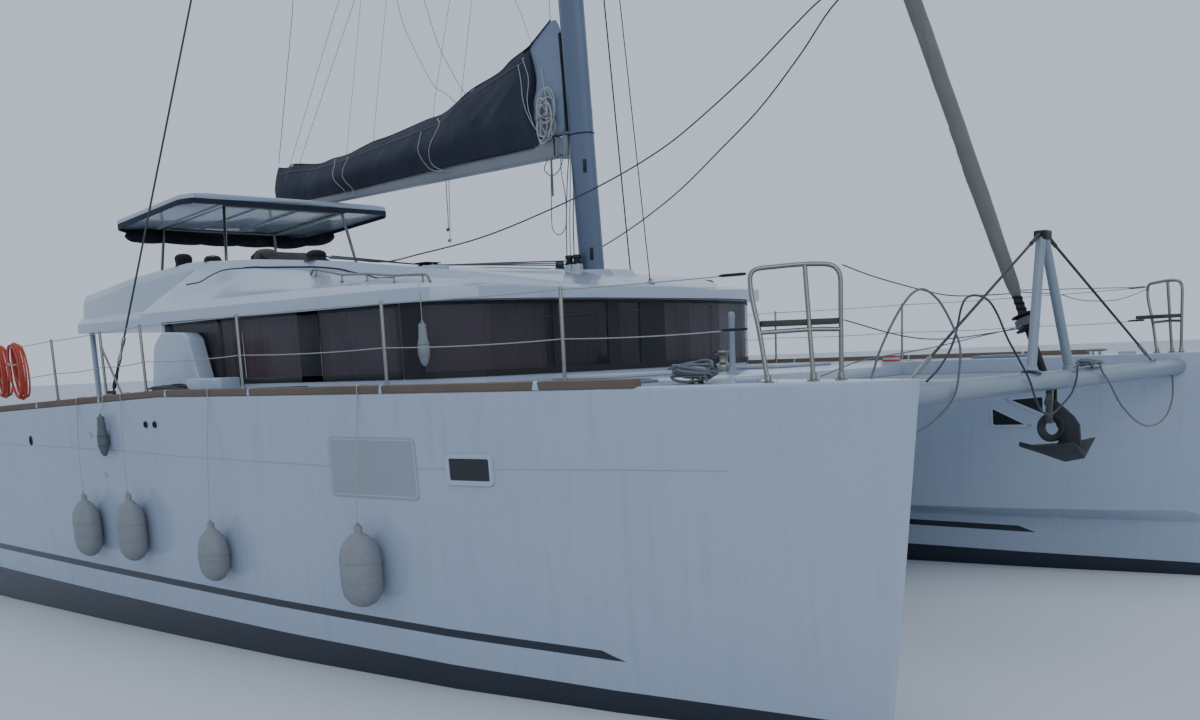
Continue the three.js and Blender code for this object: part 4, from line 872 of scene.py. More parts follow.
@dataclass
class Fenders(Assembly):
    """The fenders on their lanyards, and the shore cable coiled on the rail."""

    lanyard_mm: float = 8.0
    rail_rise: float = 0.014
    # Furthest out that a fender stands: the hull's pull flattens the soft ones to that
    reach_y: float = 4.172
    # Columns: name, x, height of the eye, length, radius, x where the lanyard is tied
    rows: tuple[tuple[str, float, float, float, float, float], ...] = (
        ("fender_fore", 2.83, 1.215, 0.62, 0.162, 2.80), ("fender_second", 0.86, 1.13, 0.51, 0.142, 0.84),
        ("fender_third", -0.48, 1.31, 0.62, 0.158, -0.62), ("fender_aft", -1.33, 1.27, 0.60, 0.158, -1.47),
        ("fender_small", -0.95, 2.00, 0.38, 0.052, -0.95))

    def build(self) -> None:
        """Hangs the fenders along the starboard side and one from the roof."""
        for name, x, eye_z, length, radius, tie_x in self.rows:
            side_y = -touch("hull_port", (x, 9.0, eye_z - 0.3), (0, -1, 0)).y
            edge = touch("hull_port", (tie_x, 9.0, 2.02), (0, -1, 0)).y
            deck = touch("hull_port", (tie_x, edge - 0.10, 3.0), (0, 0, -1)).z
            top = touch("toe_rail_port", (tie_x, edge - 0.040, 3.0), (0, 0, -1)).z
            depth = min(radius, (self.reach_y + side_y) / 2)
            y = side_y - depth - 0.003
            piece = self.fender(name, (x, y, eye_z), length, radius, GREY_FENDER if radius < 0.1 else FENDER_VINYL_AND_SHADE)
            for vertex in piece.data.vertices:
                vertex.co.y = y + (vertex.co.y - y) * depth / radius
            middle = (deck + eye_z) / 2 - 0.02
            points = [(tie_x, 0.105 - edge, deck + 0.004), (tie_x, 0.080 - edge, top + 0.020),
                      (tie_x, 0.060 - edge, top + self.rail_rise + 0.007), (tie_x, 0.010 - edge,
                      top + self.rail_rise + 0.005), (tie_x, -0.014 - edge, top + self.rail_rise - 0.020),
                      (tie_x, -0.016 - edge, deck - 0.060), (tie_x + (x - tie_x) * 0.5, (y - edge) / 2 - 0.02, middle),
                      (x, y, min(middle - 0.01, eye_z + 0.10)), (x, y, eye_z - 0.012)]
            self.rope(name + "_lanyard", points, self.lanyard_mm / 1000, WHITE_ROPE, lay="taut", far_end="knot",
                      steps=8)
        self.roof_fender()
        self.coils()

    def fender(self, name: str, eye: Point, length: float, radius: float, finish: Finish = FENDER_VINYL_AND_SHADE) -> Piece:
        """Blows one fender: a barrel with rounded ends, ribs round its shoulders and a rope eye."""
        profile = [(0.0, -length), (radius * 0.28, -length + 0.004), (radius * 0.62, -length + 0.030),
                   (radius * 0.90, -length + 0.085), (radius, -length + 0.16), (radius, -0.26),
                   (radius * 0.93, -0.185), (radius * 0.72, -0.125), (max(0.036, radius * 0.44), -0.085),
                   (0.036, -0.066), (0.032, -0.055), (0.034, -0.030), (0.030, -0.014), (0.012, -0.010), (0.0, -0.010)]
        body = spun(name, profile, eye, steps=32)
        ribs = [
            spun("rib", [(r - 0.004, h - 0.006), (r + 0.004, h - 0.002), (r + 0.004, h + 0.002), (r - 0.004, h + 0.006)],
                 eye, steps=32)
            for r, h in ((radius, -0.28), (radius, -length + 0.19))
        ]
        ring = [(eye[0] + 0.016 * math.cos(a), eye[1], eye[2] - 0.008 + 0.016 * math.sin(a))
                for a in (2 * math.pi * k / 12 for k in range(12))]
        parts = [body, *ribs, tube("eye", ring, 0.006, 8, cyclic=True)]
        return self.dress(joined(name, parts), finish, "gelcoat")

    def roof_fender(self) -> None:
        """The slim fender that hangs in front of the corner window."""
        eye = (1.845, -2.455, 2.700)
        self.fender("fender_roof", eye, 0.375, 0.052)
        stops = [(1.45, -2.08), (1.56, -2.20), (1.66, -2.30), (1.75, -2.385)]
        points = [(x, y, touch("roof_moulding", (x, y, 3.9), (0, 0, -1)).z + 0.006) for x, y in stops]
        points += [(1.80, -2.425, points[-1][2] - 0.015), (1.835, -2.447, 2.90), (1.845, -2.455, 2.78),
                   (1.845, -2.455, 2.690)]
        self.rope("fender_roof_lanyard", points, 0.006, WHITE_ROPE, lay="taut", far_end="knot")

    def coils(self) -> None:
        """Two bundles of the shore cable, hung over the guard line and tied."""
        for name, x, turns, low in (("shore_cable_fore", -2.87, 5, 2.16), ("shore_cable_aft", -3.27, 5, 2.18)):
            high = touch("guard_rail_port", (x, 3.825, 3.2), (0, 0, -1)).z + 0.012
            high = high if high < 2.9 else 2.70
            points = []
            steps = 16
            for k in range(turns * steps + 1):
                angle = 2 * math.pi * k / steps
                turn = k / steps
                wide = 0.105 + 0.012 * math.sin(2.1 * turn)
                tall = (high - low) / 2 * (1.0 - 0.05 * math.cos(1.3 * turn))
                points.append((x + wide * math.sin(angle) + 0.010 * math.sin(3 * turn),
                               -3.845 - 0.022 * (turn - turns / 2) - 0.010 * math.cos(angle),
                               (high + low) / 2 + tall * math.cos(angle)))
            cable = self.rope(name, points, 0.021, CABLE_RED, lay="coiled", far_end="bare", steps=2)
            tie = [(x + 0.045 * math.cos(a), -3.864 + 0.075 * math.sin(a), high - 0.20 + 0.01 * math.sin(2 * a))
                   for a in (2 * math.pi * k / 20 for k in range(20))]
            self.dress(tube(name + "_tie", tie, 0.006, 8, cyclic=True), WHITE_ROPE, "netting")
            LOG.info("%s lies in %d turns", cable.name, turns)


@dataclass
class Hulls(Assembly):
    """The two hulls with their windows, and all that hangs under them."""

    # Columns: lowest x, highest x, lowest z, highest z
    frosted: tuple[float, float, float, float] = (2.39, 3.37, 1.39, 1.84)
    portlight: tuple[float, float, float, float] = (3.66, 4.09, 1.515, 1.735)
    sheer_round: float = 0.028
    # Columns: x, height of the moulded line along the side
    line: tuple[tuple[float, float], ...] = (
        (-5.2, 1.70), (-1.84, 1.687), (-0.85, 1.678), (0.28, 1.649), (1.23, 1.638), (2.36, 1.620), (3.40, 1.628),
        (4.11, 1.636), (5.18, 1.650), (5.85, 1.650))
    # Corners of the two small lights in the inner side, as x and z
    inner_lights: tuple[tuple[tuple[float, float], ...], ...] = (
        ((4.68, 1.70), (4.69, 1.475), (5.13, 1.480)), ((4.80, 1.765), (5.215, 1.80), (5.220, 1.575)))
    # Columns: x, z, radius, width by height, dark
    fittings: tuple[tuple[float, float, float, float, bool], ...] = (
        (-0.24, 1.914, 0.030, 1.0, True), (-0.084, 1.915, 0.030, 1.0, True), (-2.584, 1.736, 0.050, 0.55, True),
        (-1.282, 1.819, 0.028, 1.0, False), (-1.085, 1.439, 0.028, 1.0, False))

    def outer_y(self, x: float, z: float) -> float:
        """Finds how far outboard the hull's side is, by a ray from outside."""
        return touch("hull_port", (x, 9.0, z), (0, -1, 0)).y

    def inner_y(self, x: float, z: float) -> float:
        """Finds how far inboard the hull's inner side is, by a ray from the centreline."""
        return touch("hull_port", (x, 1.0, z), (0, 1, 0)).y

    def build(self) -> None:
        """Coats both hulls and fits their windows."""
        for end, side in (("port", 1), ("starboard", -1)):
            self.shell(end, side)
            self.refine("keel_" + end, ANTIFOULING, "antifouling", 0.006)
            self.refine("rudder_" + end, ANTIFOULING, "antifouling", 0.003, body="rudder_" + end)
            self.refine("drive_leg_" + end, ANTIFOULING, "antifouling", 0.002)
            self.refine("propeller_" + end, BRONZE, "bronze", 0.0015, body="propeller_" + end)
            self.windows(end, side)
            self.moulded_line(end, side)
            self.skin_fittings(end, side)

    def shell(self, end: str, side: int) -> None:
        """Rounds the sheer of one hull."""
        hull = copied(f"hull_{end}_dressed", "hull_" + end, 0.0)

        def at_sheer(edge: bmesh.types.BMEdge) -> bool:
            up = max(face.normal.z for face in edge.link_faces)
            out = max(side * face.normal.y for face in edge.link_faces)
            middle = (edge.verts[0].co + edge.verts[1].co) / 2
            return up > 0.9 and out > 0.75 and middle.z > 1.9 and abs(middle.y) > 3.4

        bevel_edges(hull, at_sheer, self.sheer_round, 4)
        apply_modifier(hull, "BEVEL", width=0.010, segments=2, limit_method="ANGLE", angle_limit=math.radians(30))
        choose(hull)
        bpy.ops.object.shade_smooth_by_angle(angle=math.radians(30))
        self.dress(hull, HULL_COAT_AND_SHADE, "gelcoat")

    def pane(self, name: str, corners: Sequence[tuple[float, float]], side: int, inner: bool, proud: float,
             finish: Finish, slot: str, soften: float, hole: float = 0.0) -> Piece:
        """A thin panel, or a thin frame round a hole, that lies on a hull's side.

        Args:
            name: The piece's name.
            corners: Outline as x and z.
            side: 1 for the port hull and -1 for the starboard one.
            inner: True on the side that faces the other hull.
            proud: How far it stands out of the hull, in metres.
            finish: Its material.
            slot: A slot name, passed to dress, which does not use it.
            soften: Radius of the outline's corners.
            hole: Width of the frame, or 0 for a whole panel.
        """
        ring = rounded_loop([(x, 0.0, z) for x, z in corners], soften, 5)
        across = self.inner_y if inner else self.outer_y
        out = -1 if inner else 1
        piece = meshed(name, [(p.x, 0.0, p.z) for p in ring], [range(len(ring))])
        with editing(piece):
            if hole:
                bpy.ops.mesh.inset(thickness=hole, depth=0.0)
                bpy.ops.mesh.delete(type="FACE")
                bpy.ops.mesh.select_all(action="SELECT")
            # Cut across, so that the panel can follow the side's curve
            for axis, way in ((0, (1, 0, 0)), (2, (0, 0, 1))):
                values = [p[axis] for p in ring]
                for k in range(1, 8):
                    place = [0.0, 0.0, 0.0]
                    place[axis] = min(values) + (max(values) - min(values)) * k / 8
                    bpy.ops.mesh.select_all(action="SELECT")
                    bpy.ops.mesh.bisect(plane_co=place, plane_no=way)
            bpy.ops.mesh.select_all(action="SELECT")
            bpy.ops.mesh.extrude_region_move(TRANSFORM_OT_translate={"value": (0, 1, 0)})
        for vertex in piece.data.vertices:
            x, deep, z = vertex.co
            vertex.co.y = side * (across(x, z) + out * (-0.008 if deep > 0.5 else proud))
        with editing(piece):
            bpy.ops.mesh.normals_make_consistent(inside=False)
        apply_modifier(piece, "BEVEL", width=min(0.002, proud / 3), segments=1, limit_method="ANGLE",
                       angle_limit=math.radians(50))
        return self.dress(settle(piece, 30), finish, slot)

    def windows(self, end: str, side: int) -> None:
        """Fits the frosted panel, the portlight and the inner lights of one hull."""
        def box(x0: float, x1: float, z0: float, z1: float, inset: float = 0.0) -> list[tuple[float, float]]:
            return [(x0 + inset, z0 + inset), (x1 - inset, z0 + inset), (x1 - inset, z1 - inset),
                    (x0 + inset, z1 - inset)]

        self.pane("frosted_panel_" + end, box(*self.frosted), side, False, 0.004, FROST, "dark_glass", 0.05)
        self.pane("frosted_border_" + end, box(*self.frosted, 0.012), side, False, 0.006, FROST_EDGE, "dark_glass",
                  0.045, hole=0.014)
        self.pane("portlight_frame_" + end, box(*self.portlight), side, False, 0.014, GELCOAT_AND_SHADE, "gelcoat", 0.07,
                  hole=0.034)
        self.pane("portlight_glass_" + end, box(*self.portlight, 0.028), side, False, 0.006, BLIND_ACRYLIC,
                  "dark_glass", 0.05)
        for n, corners in enumerate(self.inner_lights, 1):
            name = f"inner_light_{n}_{end}"
            self.pane(name + "_rim", corners, side, True, 0.010, GELCOAT_AND_SHADE, "gelcoat", 0.075, hole=0.024)
            self.pane(name, corners, side, True, 0.004, BLIND_ACRYLIC, "dark_glass", 0.075)

    def moulded_line(self, end: str, side: int) -> None:
        """The thin raised line along the outer side, which stops at the panel and at the portlight."""
        runs = [(self.line[0][0], self.frosted[0] - 0.01), (self.frosted[1] + 0.01, self.portlight[0] - 0.01),
                (self.portlight[1] + 0.01, self.line[-1][0])]
        parts = []
        for start, stop in runs:
            path = []
            steps = max(2, int((stop - start) / 0.12))
            for k in range(steps + 1):
                x = start + (stop - start) * k / steps
                z = self.line_z(x)
                path.append((x, side * (self.outer_y(x, z) - 0.001), z))
            parts.append(tube("line", path, 0.0055, 8))
        self.dress(joined("side_line_" + end, parts), FROST_EDGE, "gelcoat")

    def line_z(self, x: float) -> float:
        """Height of the moulded line."""
        for (x0, z0), (x1, z1) in zip(self.line, self.line[1:]):
            if x <= x1:
                return z0 + (z1 - z0) * max(0.0, x - x0) / (x1 - x0)
        return self.line[-1][1]

    def skin_fittings(self, end: str, side: int) -> None:
        """Drains and vents through the side."""
        for dark, finish, slot in ((True, BLACK_ANODISED, "stainless"), (False, GELCOAT_AND_SHADE, "gelcoat")):
            parts = []
            for x, z, radius, wide, is_dark in self.fittings:
                if is_dark is not dark:
                    continue
                y = side * self.outer_y(x, z)
                profile = [(0, 0.002), (radius * 0.55, 0.002), (radius * 0.6, 0.010), (radius * 0.85, 0.012),
                           (radius, 0.007), (radius, -0.004), (0, -0.004)]
                cup = spun("cup", profile, (0, 0, 0), (0, side, 0), 20)
                cup.data.transform(Matrix.Translation((x, y, z)) @ Matrix.Diagonal((wide, 1, 1, 1)))
                parts.append(cup)
            self.dress(joined(f"skin_fittings_{'dark' if dark else 'white'}_{end}", parts), finish, slot)


@dataclass
class Deckhouse(Assembly):
    """The saloon: its walls, glass, curtains and roof, and the deck round it."""

    sill_z: float = 2.24
    head_z: float = 2.845
    front: tuple[tuple[float, float], ...] = (
        (1.5, 2.42), (1.82, 2.33), (2.06, 1.95), (2.23, 1.25), (2.31, 0.45))
    # Columns: middle and width of the black pillars, along the sides and across the front
    pillars_x: tuple[tuple[float, float], ...] = ((-1.36, 0.06), (0.165, 0.33))
    pillars_y: tuple[tuple[float, float], ...] = ((-1.23, 0.05), (-0.515, 0.15), (0.05, 0.38))
    # Columns: x, half breadth of the dark joint between the coaming and the roof
    joint: tuple[tuple[float, float], ...] = (
        (-2.55, 2.05), (-2.346, 2.008), (-2.281, 1.894), (-2.144, 1.813), (-1.80, 1.79), (-1.522, 1.782),
        (-0.862, 1.744), (-0.161, 1.71), (0.20, 1.74), (0.50, 1.79), (0.69, 1.801))

    def build(self) -> None:
        """Dresses the house, the decks and the furniture inside."""
        self.refine("bridge_deck", GELCOAT_AND_SHADE, "gelcoat", 0.01)
        self.walls()
        self.coat(ACRYLIC, "side_glass_port", "side_glass_starboard", "front_glass")
        self.refine("after_bulkhead", GELCOAT_AND_SHADE, "gelcoat", 0.004)
        self.refine("roof_moulding", GELCOAT_AND_SHADE, "gelcoat", 0.03, 14, 3)
        self.refine("cockpit_wing_port", GELCOAT_AND_SHADE, "gelcoat", 0.02, segments=3)
        self.refine("cockpit_wing_starboard", GELCOAT_AND_SHADE, "gelcoat", 0.02, segments=3)
        for end, side in (("port", 1), ("starboard", -1)):
            low, high = sorted((side * 2.43, side * 2.672))
            ledge = slab("wing_ledge_" + end, (-1.70, low, 2.165), (-1.06, high, 2.288), 0.02, 3)
            self.dress(ledge, GELCOAT_AND_SHADE, "gelcoat")
        self.coat(BLIND_ACRYLIC, "sliding_door")
        self.bonded_frames()
        self.curtains()
        self.roof_joint()

    def walls(self) -> None:
        """Splits the wall at the sill, so that only the band behind the glass is black or curtained."""
        walls = copied("saloon_walls_dressed", "saloon_walls", 0.0)
        low, high = self.sill_z - 0.012, self.head_z + 0.022
        for height in (low, high):
            with editing(walls):
                bpy.ops.mesh.bisect(plane_co=(0, 0, height), plane_no=(0, 0, 1))
        self.dress(walls, GELCOAT_AND_SHADE, "gelcoat")
        for finish in (SEALANT, CURTAIN):
            walls.data.materials.append(finish.build())
        for face in walls.data.polygons:
            banded = low < face.center.z < high
            # Round the corners a curtain hangs tight against the wall
            corner = face.center.x > 1.60 and abs(face.center.y) > 1.30 and face.normal.x > 0.2
            face.material_index = int(banded) + int(banded and corner)

    def bonded_frames(self) -> None:
        """Lays the black borders and pillars that the panes are bonded with over the glass."""
        low, high = self.sill_z - 0.024, self.head_z + 0.026
        out = self.front[0][1] + 0.0095
        for end, side in (("port", 1), ("starboard", -1)):
            strips = [
                slab("band", (-2.375, out, low), (1.49, out + 0.003, low + 0.055), 0.001, 1),
                slab("band", (-2.375, out, high - 0.03), (1.49, out + 0.003, high), 0.001, 1),
                slab("band", (-2.375, out, low), (-2.28, out + 0.003, high), 0.001, 1),
            ]
            strips += [
                slab("pillar", (x - width / 2, out, low), (min(x + width / 2, 1.489), out + 0.003, high), 0.001, 1)
                for x, width in self.pillars_x
            ]
            piece = joined("window_bonding_" + end, strips)
            if side < 0:
                piece.data.transform(Matrix.Scale(-1, 4, (0, 1, 0)))
                piece.data.flip_normals()
            self.dress(piece, SEALANT, "dark_glass")
        ring = [(x, y) for x, y in self.front] + [(x, -y) for x, y in reversed(self.front)]
        strips = [self.front_band(ring, low, low + 0.055), self.front_band(ring, high - 0.03, high)]
        strips += [self.front_pillar(y, width, low, high) for y, width in self.pillars_y]
        strips += [self.front_pillar(side * 2.385, 0.055, low, high) for side in (-1, 1)]
        self.dress(joined("window_bonding_front", strips), SEALANT, "dark_glass")

    def front_point(self, y: float, out: float) -> tuple[float, float]:
        """Gives the point of the front glass at a breadth, moved outward."""
        knots = list(self.front)
        for (x0, y0), (x1, y1) in zip(knots, knots[1:]):
            if y1 <= abs(y) <= y0:
                t = (y0 - abs(y)) / (y0 - y1)
                normal = Vector((y0 - y1, x1 - x0)).normalized()
                sign = 1 if y >= 0 else -1
                return (x0 + t * (x1 - x0) + normal.x * out, y + sign * normal.y * out)
        return (knots[-1][0] + out, y)

    def front_band(self, ring: Sequence[tuple[float, float]], low: float, high: float) -> Piece:
        """A thin band that follows the front glass round its corners."""
        inner, outer = 0.0095, 0.0125
        stops = [y for _, y in ring][1:-1]
        rings = []
        for y in [2.40, *stops, -2.40]:
            (x0, y0), (x1, y1) = self.front_point(y, inner), self.front_point(y, outer)
            rings.append([(x0, y0, low), (x1, y1, low), (x1, y1, high), (x0, y0, high)])
        return skin("band", rings)

    def front_pillar(self, y: float, width: float, low: float, high: float) -> Piece:
        """A black pillar on the front glass."""
        rings = []
        for edge in (y - width / 2, y + width / 2):
            (x0, y0), (x1, y1) = self.front_point(edge, 0.0095), self.front_point(edge, 0.0135)
            rings.append([(x0, y0, low), (x1, y1, low), (x1, y1, high), (x0, y0, high)])
        return skin("pillar", rings)

    def pleats(self, start: Point, end: Point, low: float, high: float, fold: float = 0.11,
               depth: float = 0.016) -> tuple[Piece, float]:
        """Hangs one pleated curtain between two points of the wall.

        Args:
            start: Upper corner on one side.
            end: Upper corner on the other side.
            low: Height of its lower edge.
            high: Height of its upper edge.
            fold: Width of a pleat.
            depth: How far a pleat stands out.

        Returns:
            The curtain and the width that its cloth was cut to.
        """
        a, b = Vector(start), Vector(end)
        along = b - a
        side = Vector((-along.y, along.x, 0)).normalized()
        steps = max(16, int(along.length / fold * 10))
        rows = 7
        rings = []
        for r in range(rows):
            z = high + (low - high) * r / (rows - 1)
            swell = 0.5 + 0.5 * r / (rows - 1)
            ring = []
            for k in range(steps + 1):
                t = k / steps
                wave = math.sin(2 * math.pi * t * along.length / fold + 0.5 * math.sin(9 * t + r * 0.35))
                spot = a + along * t + side * depth * swell * wave
                ring.append((spot.x, spot.y, z))
            rings.append(ring)
        return settle(skin("curtain", rings, closed=False), 60), reach(rings[rows // 2])

    def curtains(self) -> None:
        """Hangs the curtains that are drawn in the sides and in the ends of the front."""
        spans = [
            ((-2.28, 2.335), (-1.112, 2.335)), ((-1.108, 2.335), (0.188, 2.335)), ((0.192, 2.335), (1.42, 2.335)),
        ]
        runs = [(a, b, f"port_{n}") for n, (a, b) in enumerate(spans, 1)]
        runs += [((a[0], -a[1]), (b[0], -b[1]), f"starboard_{n}") for n, (a, b) in enumerate(spans, 1)]
        front = [(self.front_point(y0, -0.10), self.front_point(y1, -0.10)) for y0, y1 in (
            (-1.90, -1.28), (0.26, 1.22), (1.30, 1.90))]
        runs += [(a, b, f"front_{n}") for n, (a, b) in enumerate(front, 1)]
        for a, b, name in runs:
            piece, width = self.pleats((*a, 0.0), (*b, 0.0), self.sill_z + 0.03, self.head_z)
            named(piece, "curtain_" + name)
            self.dress(piece, CURTAIN, "canvas")

    def roof_joint(self) -> None:
        """The dark joint where the flybridge's coaming stands on the roof."""
        for end, side in (("port", 1), ("starboard", -1)):
            knots = curved_path([(x, side * y, 0.0) for x, y in self.joint], 6)
            path = [(p.x, p.y, touch("roof_moulding", (p.x, p.y, 3.9), (0, 0, -1)).z - 0.002) for p in knots]
            self.dress(tube("coaming_joint_" + end, path, 0.010, 8), SEALANT, "dark_glass")


@dataclass
class Rig(Assembly):
    """Mast, stays and the rolled headsail."""

    tack: Point = (6.306, 0.0, 2.111)
    stay_top: Point = (1.207, 0.0, 15.250)
    stay_length: float = 14.094
    # Columns: distance up the stay, radius of the rolled sail
    roll: tuple[tuple[float, float], ...] = (
        (0.60, 0.030), (0.64, 0.041), (0.72, 0.052), (1.50, 0.064), (4.00, 0.069), (9.00, 0.056), (12.40, 0.038),
        (12.62, 0.020), (12.80, 0.0125), (14.07, 0.0120))
    mast_half: tuple[float, float] = (0.146, 0.090)

    def mast_x(self, z: float) -> float:
        """Gives the middle of the raked mast at a height."""
        return 1.6 - 0.047 * (z - 3.2)

    def up_stay(self, distance: float) -> Vector:
        """Gives a point on the forestay."""
        return Vector(self.tack).lerp(Vector(self.stay_top), distance / self.stay_length)

    def build(self) -> None:
        """Dresses the spars and the stays."""
        self.refine("mast", ANODISED, "anodised", 0.004, 35)
        self.mast_fittings()
        self.coat(SLEEVED_WIRE, "cap_shroud_port", "cap_shroud_starboard")
        for end, side in (("port", 1), ("starboard", -1)):
            self.shroud_end(end, side)
        self.drum()
        self.rolled_headsail()

    def collar(self, z: float, height: float, grow: float) -> Piece:
        """A thin collar round the mast."""
        rings = []
        for offset, out in ((0.0, -0.004), (0.0, grow), (height, grow), (height, -0.004)):
            level = z + offset
            rings.append([
                (self.mast_x(level) + (self.mast_half[0] + out) * math.cos(a), (self.mast_half[1] + out) * math.sin(a),
                 level) for a in (2 * math.pi * k / 40 for k in range(40))])
        return settle(outward(skin("collar", rings, capped=False)), 40)

    def mast_fittings(self) -> None:
        """Collars, exit slots, and the halyard blocks beside the mast's foot."""
        joints = [self.collar(z, 0.014, 0.0016) for z in (4.50, 6.95, 9.60)]
        slots = []
        for z0, z1, across in ((4.13, 4.256, -1), (4.62, 4.74, 1), (3.29, 3.41, -1)):
            middle = (z0 + z1) / 2
            x = self.mast_x(middle) + 0.075
            y = across * self.mast_half[1] * math.sqrt(1 - (0.075 / self.mast_half[0]) ** 2)
            low, high = sorted((y - across * 0.010, y + across * 0.003))
            slots.append(slab("slot", (x - 0.020, low, z0), (x + 0.020, high, z1), 0.003))
        self.dress(joined("mast_slots", [*joints, *slots]), BLACK_ANODISED, "anodised")
        brackets, blocks = [], []
        for side in (-1, 1):
            for x, y in ((1.435, 0.150), (1.545, 0.158)):
                low, high = sorted((side * (y - 0.045), side * (y + 0.035)))
                brackets.append(slab("bracket", (x - 0.045, low, 3.165), (x + 0.045, high, 3.262), 0.010, 3))
                blocks.append(spun("block", [
                    (0, 0), (0.040, 0), (0.043, 0.006), (0.043, 0.024), (0.030, 0.034), (0.030, 0.052),
                    (0.043, 0.062), (0.043, 0.082), (0.036, 0.092), (0, 0.095)], (x, side * y, 3.258)))
        self.dress(joined("mast_foot_brackets", brackets), GELCOAT_AND_SHADE, "gelcoat")
        self.dress(joined("mast_foot_blocks", blocks), BLACK_ANODISED, "stainless")
        for k, (x, y) in enumerate(((1.402, -0.150), (1.430, -0.128), (1.462, -0.108)), 1):
            points = [(x, y, 3.335), (x - 0.004, y * 0.85, 3.70), (x + 0.004, y * 0.62, 4.10), (1.424, -0.048, 4.44)]
            self.rope(f"halyard_{k}", points, 0.011, (GREY_ROPE, WHITE_ROPE, DARK_ROPE)[k - 1], free=False, steps=4)
        # A dark tube along the mast's aft face: partly the real sail track, partly painted shade that darkens that
        # face, which is in shade
        track_and_shade_path = [(self.mast_x(z) - self.mast_half[0] - 0.006, 0.0, z) for z in (3.95, 12.0, 20.0)]
        self.dress(tube("mast_track_and_painted_shade", track_and_shade_path, 0.014, 8), BLACK_ANODISED, "anodised")
        foot = touch("roof_moulding", (2.354, 0.0, 3.9), (0, 0, -1))
        self.rope("inner_halyard", [foot + Vector((0, 0, 0.012)), (1.215, 0.0, 14.9)], 0.010, DARK_ROPE, free=False,
                  straight=True)
        pad = slab("pad", (2.32, -0.035, foot.z - 0.012), (2.388, 0.035, foot.z + 0.010), 0.004)
        ring = [(2.354, 0.022 * math.cos(a), foot.z + 0.020 + 0.022 * math.sin(a))
                for a in (2 * math.pi * k / 16 for k in range(16))]
        self.dress(joined("inner_halyard_pad", [pad, tube("ring", ring, 0.005, 8, cyclic=True)]), STAINLESS, "stainless")

    def shroud_end(self, end: str, side: int) -> None:
        """The pale turnbuckle at a shroud's foot, with its dark toggle under it."""
        foot, top = Vector((-1.06, side * 3.80, 2.165)), Vector((0.054, side * 1.774, 9.92))
        way = (top - foot).normalized()
        start = foot + way * 0.30
        body = spun("body", [(0, 0), (0.012, 0.0), (0.017, 0.012), (0.017, 0.075), (0.0125, 0.082), (0.0125, 0.175),
                             (0.017, 0.182), (0.017, 0.245), (0.012, 0.257), (0, 0.257)], tuple(start), tuple(way))
        self.dress(named(body, "shroud_turnbuckle_" + end), STAINLESS, "stainless")
        toggle = spun("toggle", [(0, 0), (0.015, 0.0), (0.019, 0.02), (0.019, 0.10), (0.013, 0.14), (0.012, 0.232),
                                 (0, 0.232)], tuple(foot + way * 0.07), tuple(way))
        self.dress(named(toggle, "shroud_toggle_" + end), BLACK_ANODISED, "stainless")

    def drum(self) -> None:
        """The furling drum with its line guard, and the strap that the sail's tack hangs on."""
        self.refine("furler_drum", BLACK_ANODISED, "galvanised", 0.002)
        way = (Vector(self.stay_top) - Vector(self.tack)).normalized()
        line = spun("wound_line", [(0.058, 0.365), (0.080, 0.369), (0.084, 0.378), (0.080, 0.388), (0.085, 0.398),
                                   (0.080, 0.408), (0.084, 0.418), (0.078, 0.428), (0.058, 0.434)],
                    self.tack, tuple(way), 28)
        self.dress(line, GREY_ROPE, "netting")
        rings = []
        for k in range(15):
            t = k / 14
            spot = self.up_stay(0.455 + 0.165 * t)
            around = 2.4 * math.pi * t
            radius = 0.038 + 0.006 * math.sin(3 * around)
            rings.append([tuple(spot + Vector((radius * math.cos(a + around), radius * 0.95 * math.sin(a + around), 0)))
                          for a in (2 * math.pi * j / 14 for j in range(14))])
        strap = skin("tack_strap", rings)
        self.dress(settle(strap, 50), BLACK_CANVAS, "canvas")

    def roll_radius(self, distance: float) -> float:
        """Gives the rolled sail's radius at a distance up the stay."""
        for (d0, r0), (d1, r1) in zip(self.roll, self.roll[1:]):
            if distance <= d1:
                return r0 + (r1 - r0) * (distance - d0) / (d1 - d0)
        return self.roll[-1][1]

    def rolled_headsail(self) -> None:
        """Rolls the headsail: its edge runs up the roll in a long spiral, and the cloth puckers beside it."""
        way = (Vector(self.stay_top) - Vector(self.tack)).normalized()
        across = Vector((0.0, 1.0, 0.0))
        front = across.cross(way)
        rings, count = [], 32
        first, last = self.roll[0][0], 12.80
        steps = 260
        for k in range(steps + 1):
            distance = first + (last - first) * (k / steps) ** 1.25
            radius = self.roll_radius(distance)
            turn = 2.1 * math.pi * (distance / 3.3) + 0.5 * math.sin(distance * 1.7)
            body = min(1.0, max(0.0, (radius - 0.014) / 0.03))
            ring = []
            for j in range(count):
                angle = 2 * math.pi * j / count
                behind = ((angle - turn) / (2 * math.pi)) % 1.0
                lap = 0.11 * (1 - behind) + 0.05 * math.exp(-behind * 14)
                pucker = 0.018 * math.sin(distance * 9.0 + 5 * angle) + 0.010 * math.sin(distance * 23.0 - 3 * angle)
                reach_out = radius * (0.92 + body * (lap + pucker))
                ring.append(tuple(self.up_stay(distance) + front * reach_out * math.cos(angle)
                                  + across * reach_out * math.sin(angle)))
            rings.append(ring)
        piece = self.dress(settle(skin("rolled_headsail", rings), 45), SUN_STRIP, "sailcloth")
        wire = tube("upper_stay", [self.up_stay(12.75), self.up_stay(14.07)], 0.008, 10)
        self.dress(wire, WIRE, "wire")
        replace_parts(piece, "genoa_roll")


